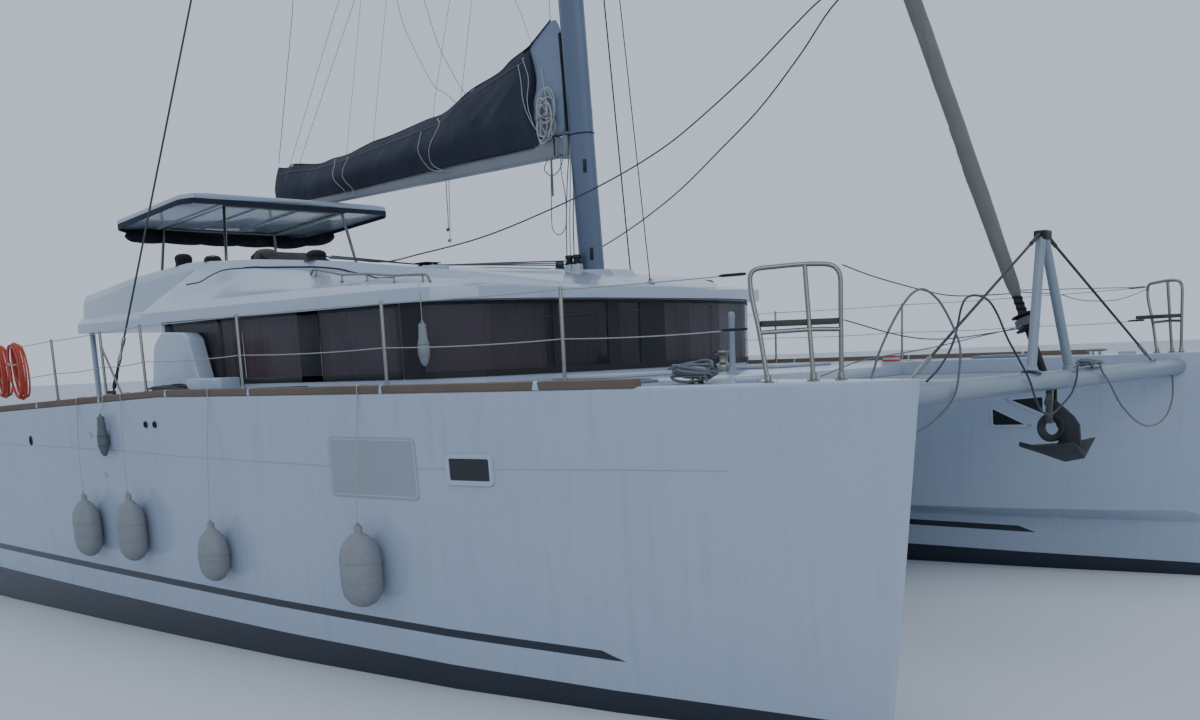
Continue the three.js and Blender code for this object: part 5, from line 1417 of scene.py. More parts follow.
@dataclass
class Boom(Assembly):
    """The boom with the lowered mainsail in its bag."""

    body: str = "boom"
    pivot: Point = (1.33, 0.0, 4.33)
    swing: float = math.radians(-8.5)
    rise: float = 0.02
    depth: float = 0.19
    # Columns: distance from the pivot, height of the bag's top over the boom's underside
    top: tuple[tuple[float, float], ...] = (
        (0.11, 1.225), (0.31, 1.185), (0.54, 1.119), (0.85, 1.047), (1.09, 0.959), (1.50, 0.894), (1.71, 0.849),
        (2.17, 0.711), (2.58, 0.686), (3.36, 0.622), (3.83, 0.600), (4.44, 0.531), (4.84, 0.525), (5.25, 0.506),
        (5.92, 0.581), (6.12, 0.552), (6.40, 0.585))
    # Columns: distance from the pivot, half width
    half: tuple[tuple[float, float], ...] = (
        (0.23, 0.090), (0.70, 0.150), (1.40, 0.175), (2.20, 0.185), (3.40, 0.180), (4.80, 0.160), (5.90, 0.120),
        (6.40, 0.080))
    # Columns: distance, height of the bag's lower edge
    hem: tuple[tuple[float, float], ...] = ((0.30, 0.120), (0.44, 0.115), (1.20, 0.110), (2.10, 0.110), (4.30, 0.075),
                                            (6.40, 0.070))
    # Columns: height, distance of the bag's front edge
    front: tuple[tuple[float, float], ...] = (
        (0.14, 0.33), (0.248, 0.43), (0.488, 0.50), (0.70, 0.39), (0.937, 0.44), (1.118, 0.50), (1.23, 0.50))
    # Columns: share of the height, share of the half width
    section: tuple[tuple[float, float], ...] = (
        (0.0, 0.47), (0.10, 0.56), (0.22, 0.84), (0.36, 1.0), (0.50, 0.93), (0.62, 0.78), (0.76, 0.56), (0.88, 0.33),
        (0.96, 0.14), (1.0, 0.05))
    # Columns: two ends of a crease as distance and height, its depth
    creases: tuple[tuple[tuple[float, float], tuple[float, float], float], ...] = (
        ((1.47, 0.49), (1.00, 0.76), 0.009), ((1.19, 0.40), (0.68, 0.776), 0.008), ((2.90, 0.14), (2.42, 0.40), 0.007),
        ((0.50, 0.27), (0.52, 0.935), 0.007), ((2.02, 0.21), (1.61, 0.457), 0.004), ((3.54, 0.164), (3.34, 0.455), 0.003),
        ((4.73, 0.142), (4.52, 0.397), 0.002), ((5.52, 0.17), (5.31, 0.42), 0.003), ((6.10, 0.197), (5.99, 0.47), 0.004))
    # Columns: distance, height of the piping
    piping: tuple[tuple[float, float], ...] = (
        (0.62, 0.985), (1.01, 0.93), (1.40, 0.85), (1.85, 0.76), (2.13, 0.635), (2.62, 0.585), (3.40, 0.54),
        (4.44, 0.475), (5.20, 0.455), (5.93, 0.50), (6.35, 0.50))
    lashings: tuple[tuple[tuple[float, float], ...], ...] = (
        ((4.69, 0.50), (4.73, 0.31), (4.51, 0.08)), ((4.36, 0.495), (4.50, 0.29), (4.29, 0.056)),
        ((2.62, 0.568), (2.66, 0.266), (2.46, 0.138), (2.11, 0.09)),
        ((2.26, 0.66), (2.25, 0.568), (2.49, 0.317), (2.46, 0.196), (2.24, 0.102)),
        ((0.70, 0.969), (0.66, 0.615), (0.53, 0.345), (0.29, 0.168)),
        ((0.60, 1.02), (0.56, 0.81), (0.60, 0.60), (0.53, 0.345)))

    def at(self, distance: float, across: float, height: float) -> Vector:
        """Turns a distance along the boom, a breadth and a height over its underside into a place."""
        x = -distance * math.cos(self.swing) - across * math.sin(self.swing)
        y = -distance * math.sin(self.swing) + across * math.cos(self.swing)
        # The swing is negative, so a positive breadth is on the port side
        return Vector((self.pivot[0] + x, y, self.pivot[2] + self.rise * distance + height))

    def along(self, table: Sequence[tuple[float, float]], key: float) -> float:
        """Reads a table between its rows."""
        if key <= table[0][0]:
            return table[0][1]
        for (k0, v0), (k1, v1) in zip(table, table[1:]):
            if key <= k1:
                return v0 + (v1 - v0) * (key - k0) / (k1 - k0)
        return table[-1][1]

    def build(self) -> None:
        """Dresses the boom, lays the bag over it and lashes it."""
        self.refine("boom", BOOM_PAINT_AND_SHADE, "anodised", 0.02, segments=3)
        self.sail_bag()
        self.trim()
        self.sail_bundle()
        self.ropes()
        self.fittings()

    def width(self, distance: float, height: float) -> float:
        """Gives the bag's half width at a distance and a height."""
        low, high = self.along(self.hem, distance), self.along(self.top, distance)
        share = min(1.0, max(0.0, (height - low) / (high - low)))
        shape = self.along(self.section, share)
        # Low down the bag always clears the boom's sides
        return max(0.074 if share < 0.2 else 0.0, self.along(self.half, distance) * shape) + self.fold(distance, height)

    def shown(self, distance: float, height: float) -> Vector:
        """Moves a point that was measured in the boom's own plane to where the bag's near side covers it."""
        wide = self.width(distance, height)
        return Vector((distance - 1.15 * wide, height - 0.26 * wide, 0.0))

    def fold(self, distance: float, height: float) -> float:
        """Gives how far the cloth stands out in its folds, and in beside them."""
        spot = Vector((distance, height, 0.0))
        out = 0.004 * math.sin(distance * 3.1) + 0.0025 * math.sin(distance * 11.0 + height * 7.0)
        for start, end, depth in self.creases:
            a, b = Vector((*start, 0.0)), Vector((*end, 0.0))
            along = b - a
            share = (spot - a).dot(along) / along.length_squared
            off = abs((spot - a).cross(along).z) / along.length
            fade = math.exp(-max(0.0, abs(share - 0.5) - 0.4) ** 2 * 30)
            out += fade * depth * (math.exp(-(off / 0.035) ** 2) - 0.7 * math.exp(-((off - 0.075) / 0.05) ** 2))
        return out

    def sail_bag(self) -> None:
        """Lofts the bag from its front edge to the boom's end."""
        shares = [0.0, 0.05, 0.11, 0.18, 0.26, 0.34, 0.42, 0.50, 0.58, 0.66, 0.74, 0.82, 0.89, 0.95, 0.985]
        rings = []
        steps, last = 150, 6.43
        for k in range(steps + 1):
            t = k / steps
            sides: dict[int, list[Vector]] = {-1: [], 1: []}
            for share in shares:
                nominal = 0.45 + (last - 0.45) * t
                low, high = self.along(self.hem, nominal), self.along(self.top, nominal)
                height = low + (high - low) * share
                start = self.along(self.front, height)
                distance = start + (last - start) * t
                low, high = self.along(self.hem, distance), self.along(self.top, distance)
                height = low + (high - low) * share
                for side in (-1, 1):
                    sides[side].append(self.at(distance, side * self.width(distance, height), height))
            inner = [self.at(nominal, side * 0.060, self.depth + 0.004) for side in (-1, 1)]
            ridge = self.at(distance, 0.0, high)
            rings.append([inner[0], *sides[-1], ridge, *reversed(sides[1]), inner[1]])
        piece = skin("sail_bag_dressed", rings)
        apply_modifier(piece, "SUBSURF", levels=1)
        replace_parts(self.dress(settle(piece, 60), CANVAS, "canvas"), "sail_bag")

    def trim(self) -> None:
        """Piping along both sides, the zip on the top, and the strap from the top's front to the mast."""
        for end, side in (("port", 1), ("starboard", -1)):
            knots = curved_path([self.shown(d, h) for d, h in self.piping], 10)
            path = [self.at(p.x, side * (self.width(p.x, p.y) + 0.0035), p.y) for p in knots]
            self.dress(tube("bag_piping_" + end, path, 0.0036, 6), GREY_ROPE, "canvas")
            knots = curved_path([(d, h + 0.012, 0.0) for d, h in self.hem[1:]], 10)
            path = [self.at(p.x, side * (self.width(p.x, p.y) + 0.0015), p.y) for p in knots]
            self.dress(tube("bag_hem_" + end, path, 0.0052, 6), BLACK_CANVAS, "canvas")
        top = [self.at(d, 0.0, h + 0.003) for d, h in self.top if d > 0.5]
        self.dress(tube("bag_zip", curved_path(top, 6), 0.007, 8), BLACK_CANVAS, "canvas")
        rings = []
        for d, h, wide in ((0.62, 1.105, 0.040), (0.50, 1.150, 0.030), (0.39, 1.210, 0.024), (0.28, 1.265, 0.022),
                           (0.17, 1.318, 0.018)):
            rings.append([self.at(d, -wide, h - 0.030), self.at(d, 0.0, h - 0.018), self.at(d, wide, h - 0.030),
                          self.at(d, wide, h - 0.024), self.at(d, 0.0, h), self.at(d, -wide, h - 0.024)])
        self.dress(settle(skin("bag_strap", rings), 50), CANVAS, "canvas")

    def sail_bundle(self) -> None:
        """The flaked sailcloth between the bag's open front and the mast, with its bolt rope."""
        # Columns: height, nearest and furthest distance, half width
        rows = ((0.20, 0.02, 0.40, 0.060), (0.30, 0.00, 0.46, 0.075), (0.42, -0.01, 0.50, 0.085),
                (0.54, -0.01, 0.50, 0.090), (0.66, -0.01, 0.45, 0.080), (0.78, -0.01, 0.43, 0.060),
                (0.90, -0.01, 0.46, 0.040), (1.00, -0.01, 0.50, 0.030), (1.09, -0.01, 0.54, 0.022),
                (1.15, 0.00, 0.48, 0.014), (1.23, 0.03, 0.34, 0.011), (1.30, 0.08, 0.20, 0.009))
        rings = []
        steps = 44
        for k in range(steps + 1):
            key = k / steps * (len(rows) - 1)
            n = min(int(key), len(rows) - 2)
            height, near, far, wide = (a + (b - a) * (key - n) for a, b in zip(rows[n], rows[n + 1]))
            ring = []
            for j in range(28):
                angle = 2 * math.pi * j / 28
                # Each flake of the sail bulges out over the one below
                loose = max(0.0, min(1.0, (0.80 - height) / 0.15))
                ripple = 1 + loose * (0.10 * math.sin(k * 1.05) + 0.06 * math.sin(3 * angle + 0.6 * k))
                middle, reach_out = (near + far) / 2, (far - near) / 2
                ring.append(self.at(middle + reach_out * math.cos(angle),
                                    wide * ripple * math.sin(angle), height))
            rings.append(ring)
        piece = skin("sail_bundle", rings)
        apply_modifier(piece, "SUBSURF", levels=1)
        self.dress(settle(piece, 60), SAILCLOTH_IN_SHADE, "sailcloth")
        # The sail's bolt rope, close behind the mast
        luff = [self.at(-0.045 + 0.055 * h, 0.0, h) for h in (0.22, 0.45, 0.70, 0.95, 1.16)]
        self.dress(tube("sail_luff", curved_path(luff, 4), 0.022, 10), BLACK_CANVAS, "anodised")

    def ropes(self) -> None:
        """Lashes the bag and hangs the reef lines under the boom."""
        for n, rows in enumerate(self.lashings, 1):
            knots = curved_path([self.shown(d, h) for d, h in rows], 6)
            path = [self.at(p.x, -(max(0.078, self.width(p.x, p.y)) + 0.006), p.y) for p in knots]
            # Both ends go into the bag or under the boom
            path = [path[0] + self.at(0, 0.03, 0) - self.at(0, 0, 0), *path,
                    path[-1] + self.at(0, 0.03, 0) - self.at(0, 0, 0)]
            self.rope(f"bag_lashing_{n}", path, 0.009, WHITE_ROPE, free=False, steps=1)
        for n, (d, across, low, lean) in enumerate(((2.13, -0.03, 3.70, -0.050), (2.27, 0.02, 3.83, -0.012)), 1):
            top = self.at(d, across, -0.003)
            foot = Vector((top.x + lean, top.y, low))
            points = [top, top.lerp(foot, 0.3), top.lerp(foot, 0.65) + Vector((0.004, 0, 0)), foot]
            line = self.rope(f"reef_line_{n}", points, 0.010, WHITE_ROPE if n == 1 else GREY_ROPE, far_end="knot",
                             steps=7)
            self.knot(line.name + "_knot", foot + Vector((0, 0, 0.004)), 0.015, WHITE_ROPE if n == 1
                      else GREY_ROPE)
        # The reef line's slack bight at the gooseneck
        bight = [self.at(0.27, -0.035, -0.003), (1.05, -0.05, 4.24), (1.10, -0.055, 4.18), (1.17, -0.06, 4.155),
                 (1.24, -0.055, 4.18), (1.29, -0.045, 4.25), self.at(0.03, -0.03, 0.012)]
        self.rope("gooseneck_bight", bight, 0.010, GREY_ROPE, steps=6)
        loop = [self.at(0.19, -0.045, -0.003), (1.140, -0.05, 4.16), (1.126, -0.05, 3.90), (1.119, -0.05, 3.68),
                (1.150, -0.05, 3.605), (1.212, -0.05, 3.575), (1.275, -0.05, 3.600), (1.315, -0.05, 3.665),
                (1.330, -0.05, 3.90), (1.290, -0.05, 4.15), self.at(0.06, -0.042, -0.002)]
        self.rope("gooseneck_loop", loop, 0.009, GREY_ROPE, steps=5)
        strap = slab("strap", (1.118, -0.030, 3.96), (1.142, -0.022, self.at(0.20, 0, 0).z + 0.01), 0.002)
        self.dress(named(strap, "gooseneck_strap"), SUN_STRIP, "canvas")
        self.loops()

    def knot(self, name: str, centre: Vector, radius: float, finish: Finish) -> None:
        """A stopper knot: the rope's own turns drawn tight."""
        path = [centre + Vector((radius * math.cos(a) * (1 + 0.3 * math.cos(1.5 * a)),
                                 radius * math.sin(a) * (1 + 0.3 * math.cos(1.5 * a)),
                                 radius * 0.9 * math.sin(1.5 * a))) for a in (4 * math.pi * k / 40 for k in range(40))]
        self.dress(tube(name, path, 0.0065, 8, cyclic=True), finish, "netting")

    def loops(self) -> None:
        """The bundle of halyard tails that hangs between the bag's front and the mast, wound and tied."""
        points = []
        turns, steps = 12, 14
        for k in range(turns * steps + 1):
            angle = 2 * math.pi * k / steps
            turn = k / steps
            wide = 0.114 + 0.024 * math.sin(2.3 * turn)
            tall = 0.135 + 0.035 * math.sin(1.7 * turn + 1.0)
            # The turns lie in two lobes, one over the other
            middle = 0.385 + 0.110 * math.sin(math.pi * turn + 0.4 * turn)
            points.append(self.at(0.178 + wide * math.sin(angle) + 0.022 * math.sin(1.1 * turn),
                                  -0.118 - 0.018 * math.sin(0.9 * turn) - 0.014 * math.cos(angle + turn),
                                  middle + tall * math.cos(angle)))
        self.rope("halyard_tails", points, 0.014, WHITE_ROPE, lay="coiled", far_end="bare", steps=2)
        tie = [self.at(0.178 + 0.120 * math.cos(a), -0.118 + 0.052 * math.sin(a), 0.375 + 0.010 * math.sin(2 * a))
               for a in (2 * math.pi * k / 20 for k in range(20))]
        self.dress(tube("halyard_tails_tie", tie, 0.006, 8, cyclic=True), GREY_ROPE, "netting")
        hook = [self.at(0.150, -0.120, 0.560), self.at(0.23, -0.09, 0.80), self.at(0.27, -0.05, 0.86),
                self.at(0.30, -0.03, 0.86)]
        self.rope("halyard_tails_hanger", hook, 0.008, WHITE_ROPE, free=False, steps=5)

    def fittings(self) -> None:
        """The boom's end casting, the reef sheaves and the cover at the gooseneck."""
        parts = []
        for across in (-0.035, 0.0, 0.035):
            centre = self.at(6.40, across, 0.095)
            parts.append(spun("sheave", [(0, -0.010), (0.034, -0.010), (0.027, 0.0), (0.034, 0.010), (0, 0.010)],
                              tuple(centre), (math.sin(self.swing), math.cos(self.swing), 0)))
        cheeks = []
        for across in (-0.055, -0.018, 0.018, 0.055):
            ring = [(6.385, 0.03), (6.435, 0.04), (6.445, 0.095), (6.435, 0.15), (6.385, 0.16)]
            points = [self.at(d, across - 0.004, h) for d, h in ring]
            depth = self.at(0, 0.008, 0) - self.at(0, 0, 0)
            cheeks.append(plate("cheek", [tuple(p) for p in points], tuple(depth), 0.002))
        self.dress(joined("boom_end", [*parts, *cheeks]), BLACK_ANODISED, "anodised")
        bands = []
        for d in (0.12, 6.33):
            outline = [(-0.083, 0.012), (-0.068, -0.004), (0.068, -0.004), (0.083, 0.012), (0.083, 0.178),
                       (0.068, 0.194), (-0.068, 0.194), (-0.083, 0.178)]
            wide = self.spar_half(d)
            rings = [[self.at(d + step, across * wide / 0.083, h) for across, h in outline]
                     for step in (-0.012, 0.012)]
            bands.append(skin("band", rings))
        self.dress(joined("boom_bands", bands), BLACK_ANODISED, "anodised")

    def spar_half(self, distance: float) -> float:
        """Measures the boom's half breadth at a distance, by a ray from its port side."""
        start, end = self.at(distance, 1.0, 0.095), self.at(distance, 0.0, 0.095)
        place = touch("boom", tuple(start), tuple(end - start))
        return (place - end).length + 0.003


@dataclass
class LazyJacks(Assembly):
    """The thin lines from the mast that hold the bag up."""

    body: str = "boom"
    # Columns: name, diameter in mm, points as distance along the boom and height, point on the mast or None
    taut: tuple[tuple[str, float, tuple[tuple[float, float], ...], tuple[float, float] | None], ...] = (
        ("main_halyard", 6.0, ((0.16, 1.31),), (0.15, 20.0)),
        ("topping_lift", 9.0, ((6.379, 0.64), (5.623, 2.405)), (0.16, 20.3)),
        ("jack_after", 6.0, ((6.118, 0.723), (4.515, 2.192), (3.474, 3.146), (2.552, 3.99), (2.36, 4.17)),
         (0.15, 10.4)),
        ("jack_after_inner", 6.0, ((5.816, 0.633), (4.141, 2.12)), (0.15, 10.0)),
        ("jack_middle", 5.0, ((4.498, 0.559), (3.899, 2.073), (3.474, 3.146)), None),
        ("jack_middle_fore", 5.0, ((3.815, 0.617), (3.312, 1.961), (2.552, 3.99)), None),
        ("jack_fore", 5.0, ((2.423, 0.643), (2.371, 0.867), (1.999, 1.708)), (0.15, 10.0)),
        ("jack_fore_inner", 5.0, ((1.85, 0.858), (1.563, 1.625)), (0.15, 9.5)),
        ("jack_foremost", 5.0, ((0.475, 1.150), (0.637, 1.446), (2.36, 4.17)), None))
    slack: tuple[tuple[str, tuple[tuple[float, float], ...]], ...] = (
        ("jack_slack_after", ((1.863, 0.826), (2.097, 0.906), (2.308, 1.007), (2.507, 1.234), (2.742, 1.551),
                              (2.932, 1.887), (3.30, 3.0), (3.474, 3.146))),
        ("jack_slack_fore", ((1.672, 0.850), (1.811, 0.942), (1.98, 1.147), (2.168, 1.405), (2.344, 1.774),
                             (2.50, 2.2), (2.56, 2.8), (2.552, 3.99))))

    def build(self) -> None:
        """Rigs the lines over the boom's middle plane."""
        boom, rig = Boom(), Rig()
        for name, size, rows, mast in self.taut:
            points = [boom.at(d, 0.0, h) for d, h in rows]
            if name != "topping_lift":
                points[0] = boom.at(rows[0][0], 0.0, boom.along(boom.top, rows[0][0]) - 0.04)
            if mast:
                half, z = mast
                points.append(Vector((rig.mast_x(z) - half * 0.93, 0.0, z)))
            piece = self.rope(name, points, size / 1000, GREY_ROPE if size < 6 else WIRE, free=False, straight=True,
                              rides=False)
            self.bend(piece, name == "topping_lift")
        for name, rows in self.slack:
            points = [boom.at(d, -0.02, h) for d, h in rows]
            points[0] = boom.at(rows[0][0], -0.03, boom.along(boom.top, rows[0][0]) - 0.045)
            piece = self.rope(name, points, 0.006, DARK_ROPE, far_end="knot", steps=7, rides=False)
            self.bend(piece, False)

    def bend(self, piece: Piece, tall: bool) -> None:
        """Puts a line's place into its mesh."""
        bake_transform(piece)


@dataclass
class Hardtop(Assembly):
    """The flybridge's top with its hem, ribs, struts and rolled curtains."""

    # Columns: x, half breadth of the underside's edge
    edge: tuple[tuple[float, float], ...] = ((-5.2, 1.26), (-5.0, 1.48), (-3.48, 1.5), (-3.33, 1.4))
    slope: float = 0.093
    fore_z: float = 4.314
    roll_radius: float = 0.068
    roll_path: tuple[tuple[float, float], ...] = ((-4.50, 1.40), (-4.88, 1.40), (-5.165, 1.15), (-5.165, -1.30))

    def under_z(self, x: float) -> float:
        """Height of the lower edge."""
        return self.fore_z + (x - self.edge[-1][0]) * self.slope

    def build(self) -> None:
        """Dresses the top, hems it and rolls the curtains up under it."""
        self.refine("bimini_top", GELCOAT_AND_SHADE, "gelcoat", 0.018, segments=3)
        self.hem()
        self.ribs()
        self.refine("bimini_frame", STAINLESS, "stainless", 0.0, 50)
        self.rolled_curtains()

    def hem(self) -> None:
        """The dark cloth band that hangs all round the lower edge."""
        plan = rounded_loop([(x, y, 0.0) for x, y in (*self.edge, *((x, -y) for x, y in reversed(self.edge)))], 0.13, 4)
        centre = (-4.265, 0.0)
        rings = []
        for k, spot in enumerate([*plan, plan[0]]):
            dx, dy = spot.x - centre[0], spot.y - centre[1]
            grow = 1 + 0.008 / math.hypot(dx, dy)
            z = self.under_z(spot.x)
            droop = 0.004 * math.sin(k * 1.9)
            profile = [(0.998, z + 0.022), (grow, z + 0.022), (grow, z - 0.038 - droop), (0.994, z - 0.038 - droop)]
            rings.append([(centre[0] + dx * g, centre[1] + dy * g, h) for g, h in profile])
        piece = skin("hardtop_hem", rings, capped=False)
        self.dress(settle(outward(piece), 40), CANVAS, "canvas")

    def ribs(self) -> None:
        """The moulded ribs under the top."""
        parts = []
        for y in (-0.9, -0.3, 0.3, 0.9):
            rings = []
            for x in (-5.05, -3.45):
                z = self.under_z(x) + 0.045 * (1 - abs(y) / 1.5)
                rings.append([(x, y - 0.02, z - 0.02), (x, y + 0.02, z - 0.02), (x, y + 0.02, z + 0.01),
                              (x, y - 0.02, z + 0.01)])
            parts.append(skin("rib", rings))
        self.dress(joined("hardtop_ribs", parts), GELCOAT_AND_SHADE, "gelcoat")

    def rolled_curtains(self) -> None:
        """Side curtains rolled up under the after edge, sagging in bights between their ties."""
        stops = rounded_path([(x, y, 0.0) for x, y in self.roll_path], 0.16, 6)
        knots: list[Vector] = []
        for a, b in zip(stops, stops[1:]):
            count = max(1, round((b - a).length / 0.03))
            knots += [a.lerp(b, k / count) for k in range(count)]
        knots.append(stops[-1])
        total = reach(knots)
        rings, straps = [], []
        done, sides = 0.0, 18
        bights = 6
        for n, spot in enumerate(knots):
            ahead = (knots[min(n + 1, len(knots) - 1)] - knots[max(n - 1, 0)]).normalized()
            out = Vector((-ahead.y, ahead.x, 0.0))
            share = done / total
            sag = 0.35 * abs(math.sin(math.pi * share * bights)) ** 0.7
            ends = min(1.0, 0.45 + 22 * min(share, 1 - share)) if min(share, 1 - share) > 0.001 else 0.25
            radius = self.roll_radius * (0.84 + 0.26 * sag) * ends
            z = self.under_z(spot.x) - self.roll_radius - 0.012
            ring = []
            for j in range(sides):
                angle = 2 * math.pi * j / sides
                # The roll's free edge makes a lap that winds round it
                lap = 0.10 * (((angle - share * 9) / (2 * math.pi)) % 1.0)
                ripple = 1 + lap + 0.05 * math.sin(4 * angle + 31 * share)
                low = 0.035 * sag if math.sin(angle) < 0 else 0.008 * sag
                spot_out = out * radius * ripple * math.cos(angle)
                ring.append((spot.x + spot_out.x, spot.y + spot_out.y,
                             z + radius * ripple * math.sin(angle) + low * math.sin(angle)))
            rings.append(ring)
            if 0.05 < share < 0.95 and int(share * bights) != int((done - 0.03) / total * bights):
                straps.append((spot.copy(), out.copy(), z))
            if n + 1 < len(knots):
                done += (knots[n + 1] - spot).length
        piece = skin("rolled_curtains", rings)
        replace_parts(self.dress(settle(piece, 60), BLACK_CANVAS, "canvas"), "curtain_roll")
        ties = []
        for spot, out, z in straps:
            wide = self.roll_radius * 0.90
            ring = [(spot.x + out.x * wide * math.cos(a), spot.y + out.y * wide * math.cos(a),
                     z + 0.022 + (wide + 0.020) * math.sin(a)) for a in (2 * math.pi * k / 20 for k in range(20))]
            ties.append(tube("tie", ring, 0.006, 6, cyclic=True))
        self.dress(joined("curtain_ties", ties), CANVAS, "canvas")


@dataclass
class Flybridge(Assembly):
    """Helm, seats and winches on the roof."""

    helm_y: float = -1.05
    wheel_z: float = 3.36
    cover_place: Point = (-2.150, -1.275, 3.500)
    # Columns: radius, height over the console's top
    cover: tuple[tuple[float, float], ...] = (
        (0.004, 0.168), (0.045, 0.166), (0.085, 0.155), (0.112, 0.134), (0.126, 0.104), (0.131, 0.070), (0.130, 0.040),
        (0.138, 0.022), (0.152, 0.008))

    def build(self) -> None:
        """Dresses everything above the roof's floor."""
        self.refine("helm_wheel", STAINLESS, "stainless", 0.0, 60, body="helm_wheel")
        self.refine("helm_console", BLACK_CANVAS, "canvas", 0.03, segments=3)
        self.refine("fly_lounge", GELCOAT_AND_SHADE, "gelcoat", 0.015)
        self.helm_cover()
        self.winch_covers()

    def helm_cover(self) -> None:
        """The faded cloth cap over the helm's instruments, drawn in by a cord at its hem."""
        x, y, base = self.cover_place
        rings = []
        for n, (radius, rise) in enumerate(self.cover):
            loose = n / (len(self.cover) - 1)
            ring = []
            for k in range(48):
                angle = 2 * math.pi * k / 48
                # The cap is longer across the boat than along it, and its lower folds follow the console
                ripple = 1 + loose * (0.045 * math.sin(7 * angle + n) + 0.03 * math.sin(3 * angle)) + 0.05 * math.cos(
                    2 * angle + 1.0)
                place = (x + radius * ripple * math.cos(angle), y + 1.12 * radius * ripple * math.sin(angle))
                drop = -0.145 * max(0.0, place[0] - x - 0.05) if loose > 0.8 else 0.0
                ring.append((*place, base + rise + 0.012 * math.sin(2 * angle + 0.5) * loose + drop))
            rings.append(ring)
        piece = skin("helm_cover", rings, capped=False)
        apply_modifier(piece, "SUBSURF", levels=1)
        self.dress(settle(piece, 60), FADED_CANVAS, "canvas")

    def winch_covers(self) -> None:
        """Canvas covers over the three winches, drawn in by a cord under the drum."""
        # Columns: winch, height of the cover's crown over the winch, radius, how far the skirt flares
        for name, crown, radius, flare in (
            ("winch_aft", 0.030, 0.098, 0.002), ("winch_mid", 0.012, 0.096, 0.010),
                ("winch_fore", 0.014, 0.104, 0.030)):
            low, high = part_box(name)
            x, y = (low[0] + high[0]) / 2, (low[1] + high[1]) / 2
            base, top = low[2] + 0.004, high[2] + crown
            rings = []
            profile = [(0.004, top), (radius * 0.42, top - 0.004), (radius * 0.78, top - 0.015),
                       (radius * 0.97, top - 0.038), (radius, top - 0.062), (radius * 0.96, (top + base) / 2),
                       (radius * 0.90, base + 0.028), (radius * 0.93, base + 0.014), (radius + flare, base)]
            for n, (r, z) in enumerate(profile):
                loose = n / (len(profile) - 1)
                ring = []
                for k in range(40):
                    angle = 2 * math.pi * k / 40
                    ripple = 1 + 0.06 * loose * math.sin(8 * angle + n) + 0.02 * math.sin(3 * angle)
                    ring.append((x + r * ripple * math.cos(angle), y + r * ripple * math.sin(angle), z))
                rings.append(ring)
            piece = skin(name + "_cover", rings, capped=False)
            apply_modifier(piece, "SUBSURF", levels=1)
            self.dress(settle(piece, 60), BLACK_CANVAS, "canvas")
            self.coat(STAINLESS, name)


